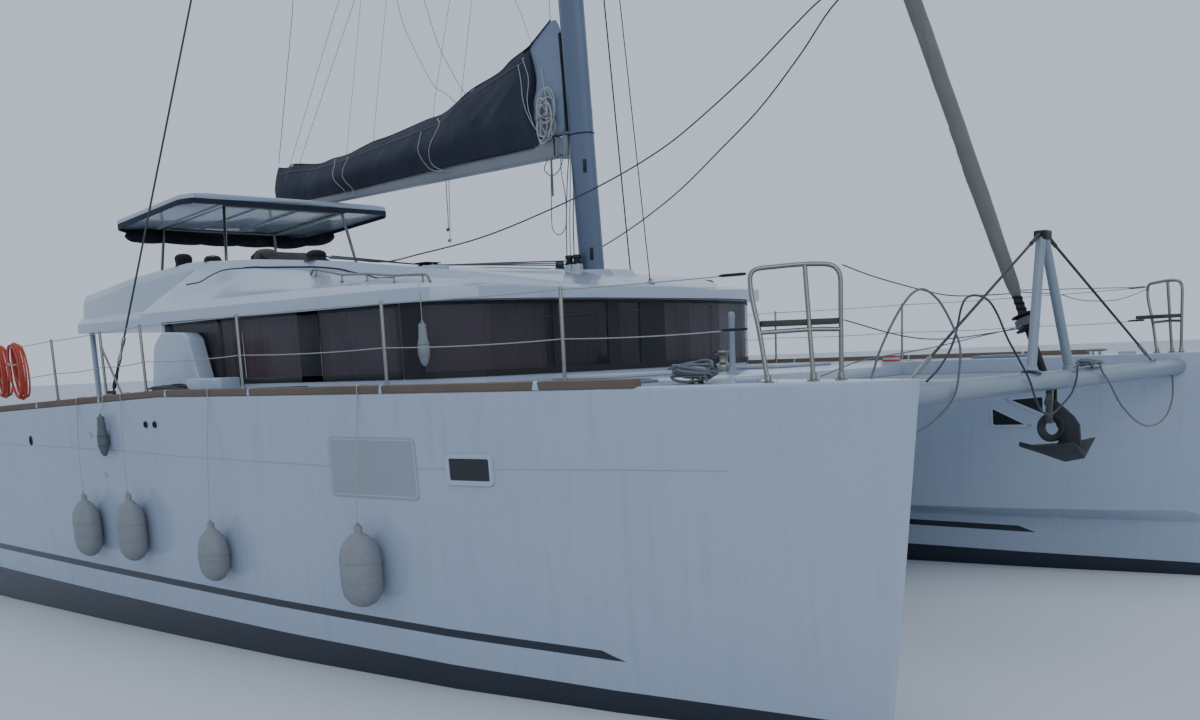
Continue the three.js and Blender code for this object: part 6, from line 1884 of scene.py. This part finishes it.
@dataclass
class Foredeck(Assembly):
    """Crossbeam, striker, anchor, nets and what stands on the decks."""

    cell: float = 0.072
    cord_mm: float = 9.0

    def build(self) -> None:
        """Dresses the fore part."""
        self.refine("crossbeam", SPAR_PAINT_AND_SHADE, "anodised", 0.003, 30)
        self.refine("walkway", SPAR_PAINT_AND_SHADE, "anodised", 0.01)
        for end, side in (("port", 1), ("starboard", -1)):
            self.net(end, side)
            self.refine("locker_lid_" + end, NON_SKID, "deck_nonskid", 0.01, body="locker_lid_" + end)
            self.refine("engine_lid_" + end, NON_SKID, "deck_nonskid", 0.01, body="engine_lid_" + end)
        self.striker()
        self.refine("anchor", GALVANISED, "galvanised", 0.004)
        self.roller()
        self.refine("windlass", STAINLESS, "stainless", 0.004)
        self.deck_gear()

    def net(self, end: str, side: int) -> None:
        """Knots one trampoline: a square net with a rope sewn along its edge."""
        z, x0, x1, y0 = 2.0225, 3.765, 6.275, 0.225
        count = round((x1 - x0) / self.cell)
        rows = []
        for k in range(count + 1):
            x = x0 + (x1 - x0) * k / count
            rows.append((x, touch("hull_port", (x, 1.0, z), (0, 1, 0)).y - 0.022))
        wide = max(y for _, y in rows)
        across = round((wide - y0) / self.cell)
        points: list[Point] = []
        for x, y1 in rows:
            for k in range(across + 1):
                t = k / across
                points.append((x, side * (y0 + (y1 - y0) * t), z - 0.004 * math.sin(math.pi * t)))
        faces = [(r * (across + 1) + k, r * (across + 1) + k + 1, (r + 1) * (across + 1) + k + 1,
                  (r + 1) * (across + 1) + k) for r in range(count) for k in range(across)]
        piece = meshed("net_" + end, points, faces)
        apply_modifier(piece, "WIREFRAME", thickness=self.cord_mm / 1000, use_even_offset=False, use_replace=True)
        self.dress(settle(piece, 60), NETTING, "netting")
        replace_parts(piece, "trampoline_" + end)
        border = [(rows[0][0], side * y0, z), *((x, side * y, z) for x, y in rows), (rows[-1][0], side * y0, z)]
        self.dress(tube("net_rope_" + end, rounded_path(border, 0.02, 2), 0.008, 8, cyclic=True), GREY_ROPE, "netting")
        lacing = []
        for k in range(1, count, 2):
            x, y = rows[k]
            lacing.append(tube("lacing", [(x, side * (y - 0.012), z), (x + 0.012, side * (y + 0.030), z + 0.006)], 0.004, 6))
        for k in range(1, across, 2):
            y = y0 + (rows[-1][1] - y0) * k / across
            lacing.append(tube("lacing", [(x1 - 0.01, side * y, z), (x1 + 0.045, side * (y + 0.01), z + 0.004)], 0.004, 6))
        self.dress(joined("net_lacing_" + end, lacing), WHITE_ROPE, "netting")

    def striker(self) -> None:
        """Legs, cap and the black stays with their turnbuckles."""
        legs = []
        for side in (-1, 1):
            foot, top = Vector((6.370, side * 0.365, 2.098)), Vector((6.284, side * 0.034, 3.105))
            legs.append(tube("leg", [foot, top], 0.038, 20))
            way = (top - foot).normalized()
            legs.append(spun("foot", [(0, 0), (0.080, 0), (0.080, 0.008), (0.055, 0.016), (0.044, 0.050), (0, 0.050)],
                             tuple(foot), tuple(way)))
        piece = self.dress(joined("striker_legs", legs), SPAR_PAINT_AND_SHADE, "anodised")
        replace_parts(piece, "striker_frame")
        cap = slab("cap", (6.234, -0.065, 3.095), (6.334, 0.065, 3.165), 0.014, 3)
        lugs = [slab("lug", (6.274, s * 0.052 - 0.012, 3.06), (6.294, s * 0.052 + 0.012, 3.10), 0.004)
                for s in (-1, 1)]
        self.dress(joined("striker_cap", [cap, *lugs]), BLACK_ANODISED, "anodised")
        for end, side in (("port", 1), ("starboard", -1)):
            top, foot = Vector((6.284, side * 0.050, 3.140)), Vector((6.370, side * 2.315, 2.085))
            way = (foot - top).normalized()
            long = (foot - top).length
            stay = tube("stay", [top, top + way * (long - 0.42)], 0.0105, 10)
            sleeve = tube("sleeve", [top + way * 0.02, top + way * 0.20], 0.016, 10)
            self.dress(joined("striker_stay_" + end, [stay, sleeve]), SLEEVED_WIRE, "wire")
            start = top + way * (long - 0.43)
            body = spun("body", [(0, 0), (0.010, 0.0), (0.016, 0.02), (0.016, 0.22), (0.010, 0.25), (0.009, 0.33),
                                 (0, 0.33)], tuple(start), tuple(way))
            y = side * 2.285
            toggle = slab("toggle", (6.352, y - 0.045, 2.092), (6.384, y + 0.045, 2.135), 0.008)
            tang = slab("tang", (6.362, y - 0.060, 2.05), (6.374, y + 0.060, 2.12), 0.003)
            self.dress(joined("striker_turnbuckle_" + end, [body, toggle, tang]), STAINLESS, "stainless")

    def roller(self) -> None:
        """The pale plate that hangs from the crossbeam, with the dark wheel that the chain runs over."""
        cheeks = [slab("cheek", (6.352, y, 1.700), (6.412, y + 0.010, 1.975), 0.003) for y in (-0.048, 0.038)]
        bridge = slab("bridge", (6.352, -0.048, 1.962), (6.412, 0.048, 1.976), 0.003)
        bolt = spun("bolt", [(0, 0), (0.016, 0), (0.016, 0.104), (0, 0.104)], (6.382, -0.052, 1.715), (0, 1, 0), 16)
        piece = self.dress(joined("anchor_roller_plate", [*cheeks, bridge, bolt]), STAINLESS, "stainless")
        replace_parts(piece, "anchor_roller")
        wheel = spun("chain_wheel", [
            (0.060, 0.014), (0.078, 0.002), (0.104, 0.0), (0.112, 0.010), (0.100, 0.030), (0.094, 0.036), (0.100, 0.042),
            (0.112, 0.062), (0.104, 0.072), (0.078, 0.070), (0.060, 0.058), (0.060, 0.014)],
            (6.390, -0.036, 1.668), (0, 1, 0), 36)
        self.dress(wheel, GALVANISED, "galvanised")

    def deck_z(self, x: float, y: float, node: str = "hull_port") -> float:
        """Finds the height of the deck under a place by a ray from above."""
        return touch(node, (x, abs(y) if node == "hull_port" else y, 3.0), (0, 0, -1)).z

    def cleat(self, x: float, y: float, z: float, turn: float = 0.0) -> list[Piece]:
        """A horn cleat on two feet."""
        horn = spun("horn", [(0, 0), (0.010, 0.004), (0.014, 0.04), (0.016, 0.11), (0.014, 0.18), (0.010, 0.216),
                             (0, 0.22)], (x - 0.11, y, z + 0.045), (1, 0, 0), 14)
        feet = [spun("foot", [(0, 0), (0.026, 0), (0.018, 0.010), (0.012, 0.022), (0.013, 0.048), (0, 0.048)],
                     (x + dx, y, z - 0.002), steps=16) for dx in (-0.035, 0.035)]
        for piece in (horn, *feet):
            piece.data.transform(Matrix.Translation((x, y, 0)) @ Matrix.Rotation(turn, 4, "Z")
                                 @ Matrix.Translation((-x, -y, 0)))
        return [horn, *feet]

    def deck_gear(self) -> None:
        """Cleats, chocks, vents and caps on both decks."""
        cleats, chocks, caps = [], [], []
        for side in (-1, 1):
            for x, y in ((5.46, 3.30), (-0.18, 3.72), (-5.6, 3.45)):
                z = self.deck_z(x, y)
                cleats += self.cleat(x, side * y, z)
            z = self.deck_z(5.80, 3.22)
            chocks.append(slab("chock", (5.72, side * 3.22 - 0.035, z - 0.004), (5.88, side * 3.22 + 0.035, z + 0.030), 0.010, 3))
            for x, y in ((3.60, 2.85), (-2.6, 3.10)):
                z = self.deck_z(x, y)
                caps.append(spun("cap", [(0, 0), (0.042, 0), (0.042, 0.006), (0.034, 0.012), (0.012, 0.014), (0, 0.010)],
                                 (x, side * y, z - 0.001)))
        self.dress(joined("deck_cleats", cleats), STAINLESS, "stainless")
        self.dress(joined("fairlead_bases", chocks), GELCOAT_AND_SHADE, "gelcoat")
        self.dress(joined("deck_filler_caps", caps), STAINLESS, "stainless")
        z = self.deck_z(3.60, 2.45)
        box = slab("box", (3.52, 2.40, z - 0.002), (3.68, 2.50, z + 0.062), 0.008, 3)
        self.dress(named(box, "red_cap_base"), GELCOAT_AND_SHADE, "gelcoat")
        caps = [slab("cap", (3.517, 2.397, z + low), (3.683, 2.503, z + high), 0.006) for low, high in (
            (0.004, 0.024), (0.044, 0.066))]
        self.dress(joined("red_cap", caps), RED_PLASTIC, "gelcoat")
        z = touch("bridge_deck", (3.61, -0.4, 3.0), (0, 0, -1)).z
        post = spun("post", [(0, -0.01), (0.060, -0.01), (0.056, 0.010), (0.034, 0.032), (0.027, 0.09), (0.024, 0.36),
                             (0.030, 0.50), (0.030, 0.525), (0.020, 0.540), (0, 0.545)], (3.61, -0.40, z))
        self.dress(named(post, "deck_vent"), SPAR_PAINT_AND_SHADE, "gelcoat")
        hatches, rims = [], []
        for side in (-1, 1):
            for x, y in ((4.55, 3.12), (0.55, 3.12)):
                z = self.deck_z(x, y)
                rims.append(slab("rim", (x - 0.25, side * y - 0.25, z - 0.005), (x + 0.25, side * y + 0.25, z + 0.022), 0.012, 3))
                hatches.append(slab("light", (x - 0.215, side * y - 0.215, z + 0.01), (x + 0.215, side * y + 0.215, z + 0.028), 0.006))
        self.dress(joined("hatch_rims", rims), ANODISED, "anodised")
        self.dress(joined("hatch_lights", hatches), BLIND_ACRYLIC, "dark_glass")


@dataclass
class Rails(Assembly):
    """Pulpits with their seats, stanchions, guard lines and the teak toe rails."""

    # Columns: x, y, height of the pulpit's feet and of its corners above them
    feet: tuple[Point, ...] = ((6.042, 3.356, 2.166), (6.245, 3.175, 2.166), (6.367, 3.060, 2.166))
    tops: tuple[Point, ...] = ((5.925, 3.360, 2.830), (6.183, 3.160, 2.848), (6.358, 3.046, 2.835))
    radius: float = 0.0145
    seat_z: float = 2.493
    stanchions: tuple[float, ...] = (4.640, 2.990, 1.185, -0.370, -1.110, -2.110)
    rail_height: float = 0.635
    # Columns: share of the height, sag in the middle of a span
    lines: tuple[tuple[float, float], ...] = ((1.0, 0.006), (0.5, 0.014))
    frame_x: tuple[float, float] = (-4.30, -4.95)
    # Where the toe rail's planks begin and end
    plank_ends: tuple[float, ...] = (-3.60, -2.35, -1.05, 0.15, 1.43, 3.05, 4.50, 5.26)

    def deck_edge(self, x: float) -> tuple[float, float]:
        """Gives the rail's breadth and the deck's height there."""
        outer = touch("hull_port", (x, 9.0, 1.90), (0, -1, 0)).y
        return outer - 0.11, touch("hull_port", (x, outer - 0.11, 3.2), (0, 0, -1)).z

    def build(self) -> None:
        """Bends the pulpits and rigs the rails."""
        for end, side in (("port", 1), ("starboard", -1)):
            self.pulpit(end, side)
            self.guard_rail(end, side)
            self.toe_rail(end, side)

    def flip(self, point: Sequence[float], side: int) -> Vector:
        """Puts a point of the port side on the wanted side."""
        return Vector((point[0], side * point[1], point[2]))

    def pulpit(self, end: str, side: int) -> None:
        """Bends one pulpit from tube and fits its seat."""
        feet, tops = [self.flip(p, side) for p in self.feet], [self.flip(p, side) for p in self.tops]
        aft = [feet[0], self.flip((5.985, 3.360, 2.49), side), self.flip((5.935, 3.360, 2.68), side), tops[0], tops[1],
               tops[2], feet[2]]
        hoop = tube("hoop", rounded_path(aft, 0.10), self.radius, 12)
        middle = tube("middle", [feet[1], tops[1]], self.radius, 12)
        low = tube("low", [feet[0].lerp(aft[1], 0.9), feet[1].lerp(tops[1], 0.44), feet[2].lerp(tops[2], 0.44)],
                   self.radius * 0.9, 12)
        cups = [spun("cup", [(0, 0), (0.038, 0), (0.038, 0.006), (0.022, 0.010), (0.019, 0.045), (0, 0.045)], tuple(foot))
                for foot in feet]
        piece = self.dress(joined("pulpit_tubes_" + end, [hoop, middle, low, *cups]), STAINLESS, "stainless")
        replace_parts(piece, "pulpit_" + end)
        z = self.seat_z
        outline = [self.flip(p, side) for p in (
            (6.370, 3.052, z), (6.235, 2.925, z), (5.875, 3.175, z), (5.985, 3.352, z))]
        plank = plate("plank", [tuple(p) for p in rounded_loop(outline, 0.03, 3)], (0, 0, 0.034), 0.006, 2)
        self.dress(named(plank, "pulpit_seat_" + end), DARK_TEAK, "teak")

    def guard_rail(self, end: str, side: int) -> None:
        """Sets the stanchions in their cups and hangs the guard lines through them."""
        posts, tips = [], []
        shares = [share for share, _ in self.lines]
        runs: dict[float, list[Vector]] = {share: [] for share in shares}
        for share in shares:
            runs[share].append(self.flip((5.905, 3.366, 2.165 + 0.640 * share), side))
        for x in self.stanchions:
            y, z = self.deck_edge(x)
            profile = [(0, 0), (0.0125, 0.0), (0.0125, self.rail_height - 0.012), (0.010, self.rail_height),
                       (0, self.rail_height)]
            posts.append(spun("post", profile, (x, side * y, z), steps=14))
            posts.append(spun("cup", [(0, 0), (0.036, 0), (0.036, 0.005), (0.020, 0.010), (0.0175, 0.065), (0, 0.065)],
                              (x, side * y, z - 0.001), steps=18))
            tips.append(spun("tip", [(0, 0), (0.0135, 0.0), (0.0140, 0.008), (0.0100, 0.016), (0, 0.019)],
                             (x, side * y, z + self.rail_height - 0.010), steps=14))
            for share in shares:
                runs[share].append(Vector((x, side * y, z + (self.rail_height - 0.012) * share)))
        x0, x1 = self.frame_x
        (ya, za), (yb, zb) = self.deck_edge(x0), self.deck_edge(x1)
        hoop = [self.flip((x0, ya, za), side), self.flip((x0, ya, za + self.rail_height), side),
                self.flip((x1, yb, zb + self.rail_height), side), self.flip((x1, yb, zb), side)]
        posts.append(tube("frame", rounded_path(hoop, 0.09), 0.0145, 12))
        posts.append(tube("bar", [hoop[0].lerp(hoop[1], 0.5), hoop[3].lerp(hoop[2], 0.5)], 0.0125, 12))
        for x, (y, z) in ((x0, (ya, za)), (x1, (yb, zb))):
            posts.append(spun("cup", [(0, 0), (0.036, 0), (0.036, 0.005), (0.020, 0.010), (0.0175, 0.065), (0, 0.065)],
                              (x, side * y, z - 0.001), steps=18))
        for share in shares:
            runs[share].append(hoop[0].lerp(hoop[1], share * 0.985))
        # The gate's fore post has a brace that runs forward and down
        y, z = self.deck_edge(-1.11)
        y2, z2 = self.deck_edge(-0.79)
        posts.append(tube("brace", [(-1.11, side * y, z + 0.50), (-0.79, side * y2, z2)], 0.010, 10))
        posts.append(spun("cup", [(0, 0), (0.030, 0), (0.030, 0.005), (0.016, 0.010), (0.014, 0.04), (0, 0.04)],
                          (-0.79, side * y2, z2 - 0.001), steps=18))
        piece = self.dress(joined("stanchions_" + end, posts), STAINLESS, "stainless")
        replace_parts(piece, "guard_rail_" + end)
        self.dress(joined("stanchion_tips_" + end, tips), STAINLESS, "stainless")
        wires, terminals = [], []
        for (share, sag), knots in zip(self.lines, runs.values()):
            path: list[Vector] = []
            for a, b in zip(knots, knots[1:]):
                for k in range(8):
                    t = k / 8
                    path.append(a.lerp(b, t) - Vector((0, 0, sag * 4 * t * (1 - t))))
            path.append(knots[-1])
            wires.append(tube("line", path, 0.0038, 8))
            for start, ahead in ((knots[0], knots[1]), (knots[-1], knots[-2])):
                way = (ahead - start).normalized()
                terminals.append(spun("terminal", [(0, 0), (0.007, 0.0), (0.0095, 0.02), (0.0095, 0.15),
                                                   (0.005, 0.175), (0, 0.175)], tuple(start), tuple(way), 12))
        self.dress(joined("guard_lines_" + end, wires), COATED_WIRE, "wire")
        self.dress(joined("guard_line_ends_" + end, terminals), BLACK_ANODISED, "stainless")

    def toe_rail(self, end: str, side: int) -> None:
        """The teak rail along the deck's edge, in planks with a pale joint between each two."""
        planks, joints = [], []
        for n, (start, stop) in enumerate(zip(self.plank_ends, self.plank_ends[1:])):
            planks.append(self.plank(start + (0.005 if n else 0.0), stop - 0.005, side))
            if n:
                wide = 0.026 if start > 4.0 else 0.016
                joints.append(self.plank(start - wide, start + wide, side, 0.0015))
        piece = self.dress(joined("toe_rail_planks_" + end, planks), TEAK, "teak")
        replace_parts(piece, "toe_rail_" + end)
        self.dress(joined("toe_rail_joints_" + end, joints), GELCOAT_AND_SHADE, "gelcoat")

    def plank(self, start: float, stop: float, side: int, grow: float = 0.0) -> Piece:
        """One plank that follows the deck's edge and laps over it.

        Args:
            start: Where it begins.
            stop: Where it ends.
            side: 1 for the port hull and -1 for the starboard one.
            grow: How much thicker it is all round.
        """
        count = max(1, round((stop - start) / 0.18))
        rings = []
        for k in range(count + 1):
            x = start + (stop - start) * k / count
            outer = touch("hull_port", (x, 9.0, 2.0), (0, -1, 0)).y
            deck = touch("hull_port", (x, outer - 0.10, 3.2), (0, 0, -1)).z
            # The ends are cut on the slant
            slant = 0.0 if 0 < k < count else (0.010 if k == 0 else -0.010)
            rings.append([
                (x + slant * up, side * (outer - across * 1.0), deck + high)
                for across, high, up in (
                    (0.070 + grow, -0.004, 0), (0.064 + grow, 0.042 + grow, 1), (0.058, 0.048 + grow, 1),
                    (0.004, 0.048 + grow, 1), (-0.005 - grow, 0.040 + grow, 1), (-0.007 - grow, -0.004 - grow, 0),
                    (-0.002, -0.010 - grow, 0), (0.012, -0.004, 0))])
        return settle(skin("plank", rings), 40)


@dataclass
class Cushions(Assembly):
    """Foam cushions in sewn vinyl covers, in the cockpit, on the flybridge and in the saloon."""

    shrink: float = 0.016
    cell: float = 0.016

    def build(self) -> None:
        """Sews the cushions and dresses the furniture under them."""
        self.refine("cockpit_table", GELCOAT_AND_SHADE, "gelcoat", 0.008)
        for node in ("cockpit_cushion", "fly_cushion", "saloon_settee"):
            self.stuffed(node, VINYL)
        self.stuffed("helm_seat", BLACK_CANVAS)

    def stuffed(self, node: str, finish: Finish) -> None:
        """Blows a copy of a solid up like foam in a tight cover."""
        piece = copied(node + "_dressed", node, 0.022, 35, 3)
        low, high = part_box(node)
        longest = max(b - a for a, b in zip(low, high))
        # The pad swells, so it starts a little smaller
        centre = (Vector(low) + Vector(high)) / 2
        size = Vector(high) - Vector(low)
        shrink = Matrix.Diagonal((*((s - self.shrink) / s for s in size), 1.0))
        piece.data.transform(Matrix.Translation(centre) @ shrink @ Matrix.Translation(-centre))
        self.swell(piece, max(self.cell, longest / 150))
        apply_modifier(piece, "SUBSURF", levels=1)
        self.dress(settle(piece, 60), finish, "vinyl")
        LOG.info("%s is %d faces", piece.name, len(piece.data.polygons))

    def swell(self, piece: Piece, voxel: float, cap: float = 0.014) -> None:
        """Lets the cover swell under a light pressure and caps how far it moves.

        Args:
            piece: The cushion's mesh.
            voxel: Size of the mesh's cells in metres.
            cap: The most that a point moves, in metres.
        """
        apply_modifier(piece, "REMESH", mode="VOXEL", voxel_size=voxel)
        rest = [v.co.copy() for v in piece.data.vertices]
        choose(piece)
        cloth = piece.modifiers.new("Cover", "CLOTH")
        cloth.settings.use_pressure = True
        cloth.settings.uniform_pressure_force = 4.0
        cloth.settings.effector_weights.gravity = 0.0
        cloth.settings.quality = 5
        cloth.point_cache.frame_end = 20
        scene = bpy.context.scene
        for number in range(1, 21):
            scene.frame_set(number)
        shape = piece.evaluated_get(bpy.context.evaluated_depsgraph_get()).to_mesh()
        moved = [v.co.copy() for v in shape.vertices]
        piece.modifiers.remove(cloth)
        scene.frame_set(1)
        for vertex, start, end in zip(piece.data.vertices, rest, moved):
            step = end - start
            if step.length > cap:
                step *= cap / step.length
            vertex.co = start + step


def main() -> None:
    """Builds the boat's sub-assemblies in order."""
    logging.basicConfig(level=logging.INFO, format="%(message)s")
    studio = Studio()
    studio.place_camera()
    for assembly in (
        BowLines(), RoofLines(), Fenders(), Boom(), LazyJacks(), Hulls(), Deckhouse(), Flybridge(), Hardtop(), Rig(),
        Foredeck(), Rails(), Cushions(),
    ):
        assembly.build()
        LOG.info("Built: %s", type(assembly).__name__)
    studio.light()


if __name__ == "__main__":
    main()
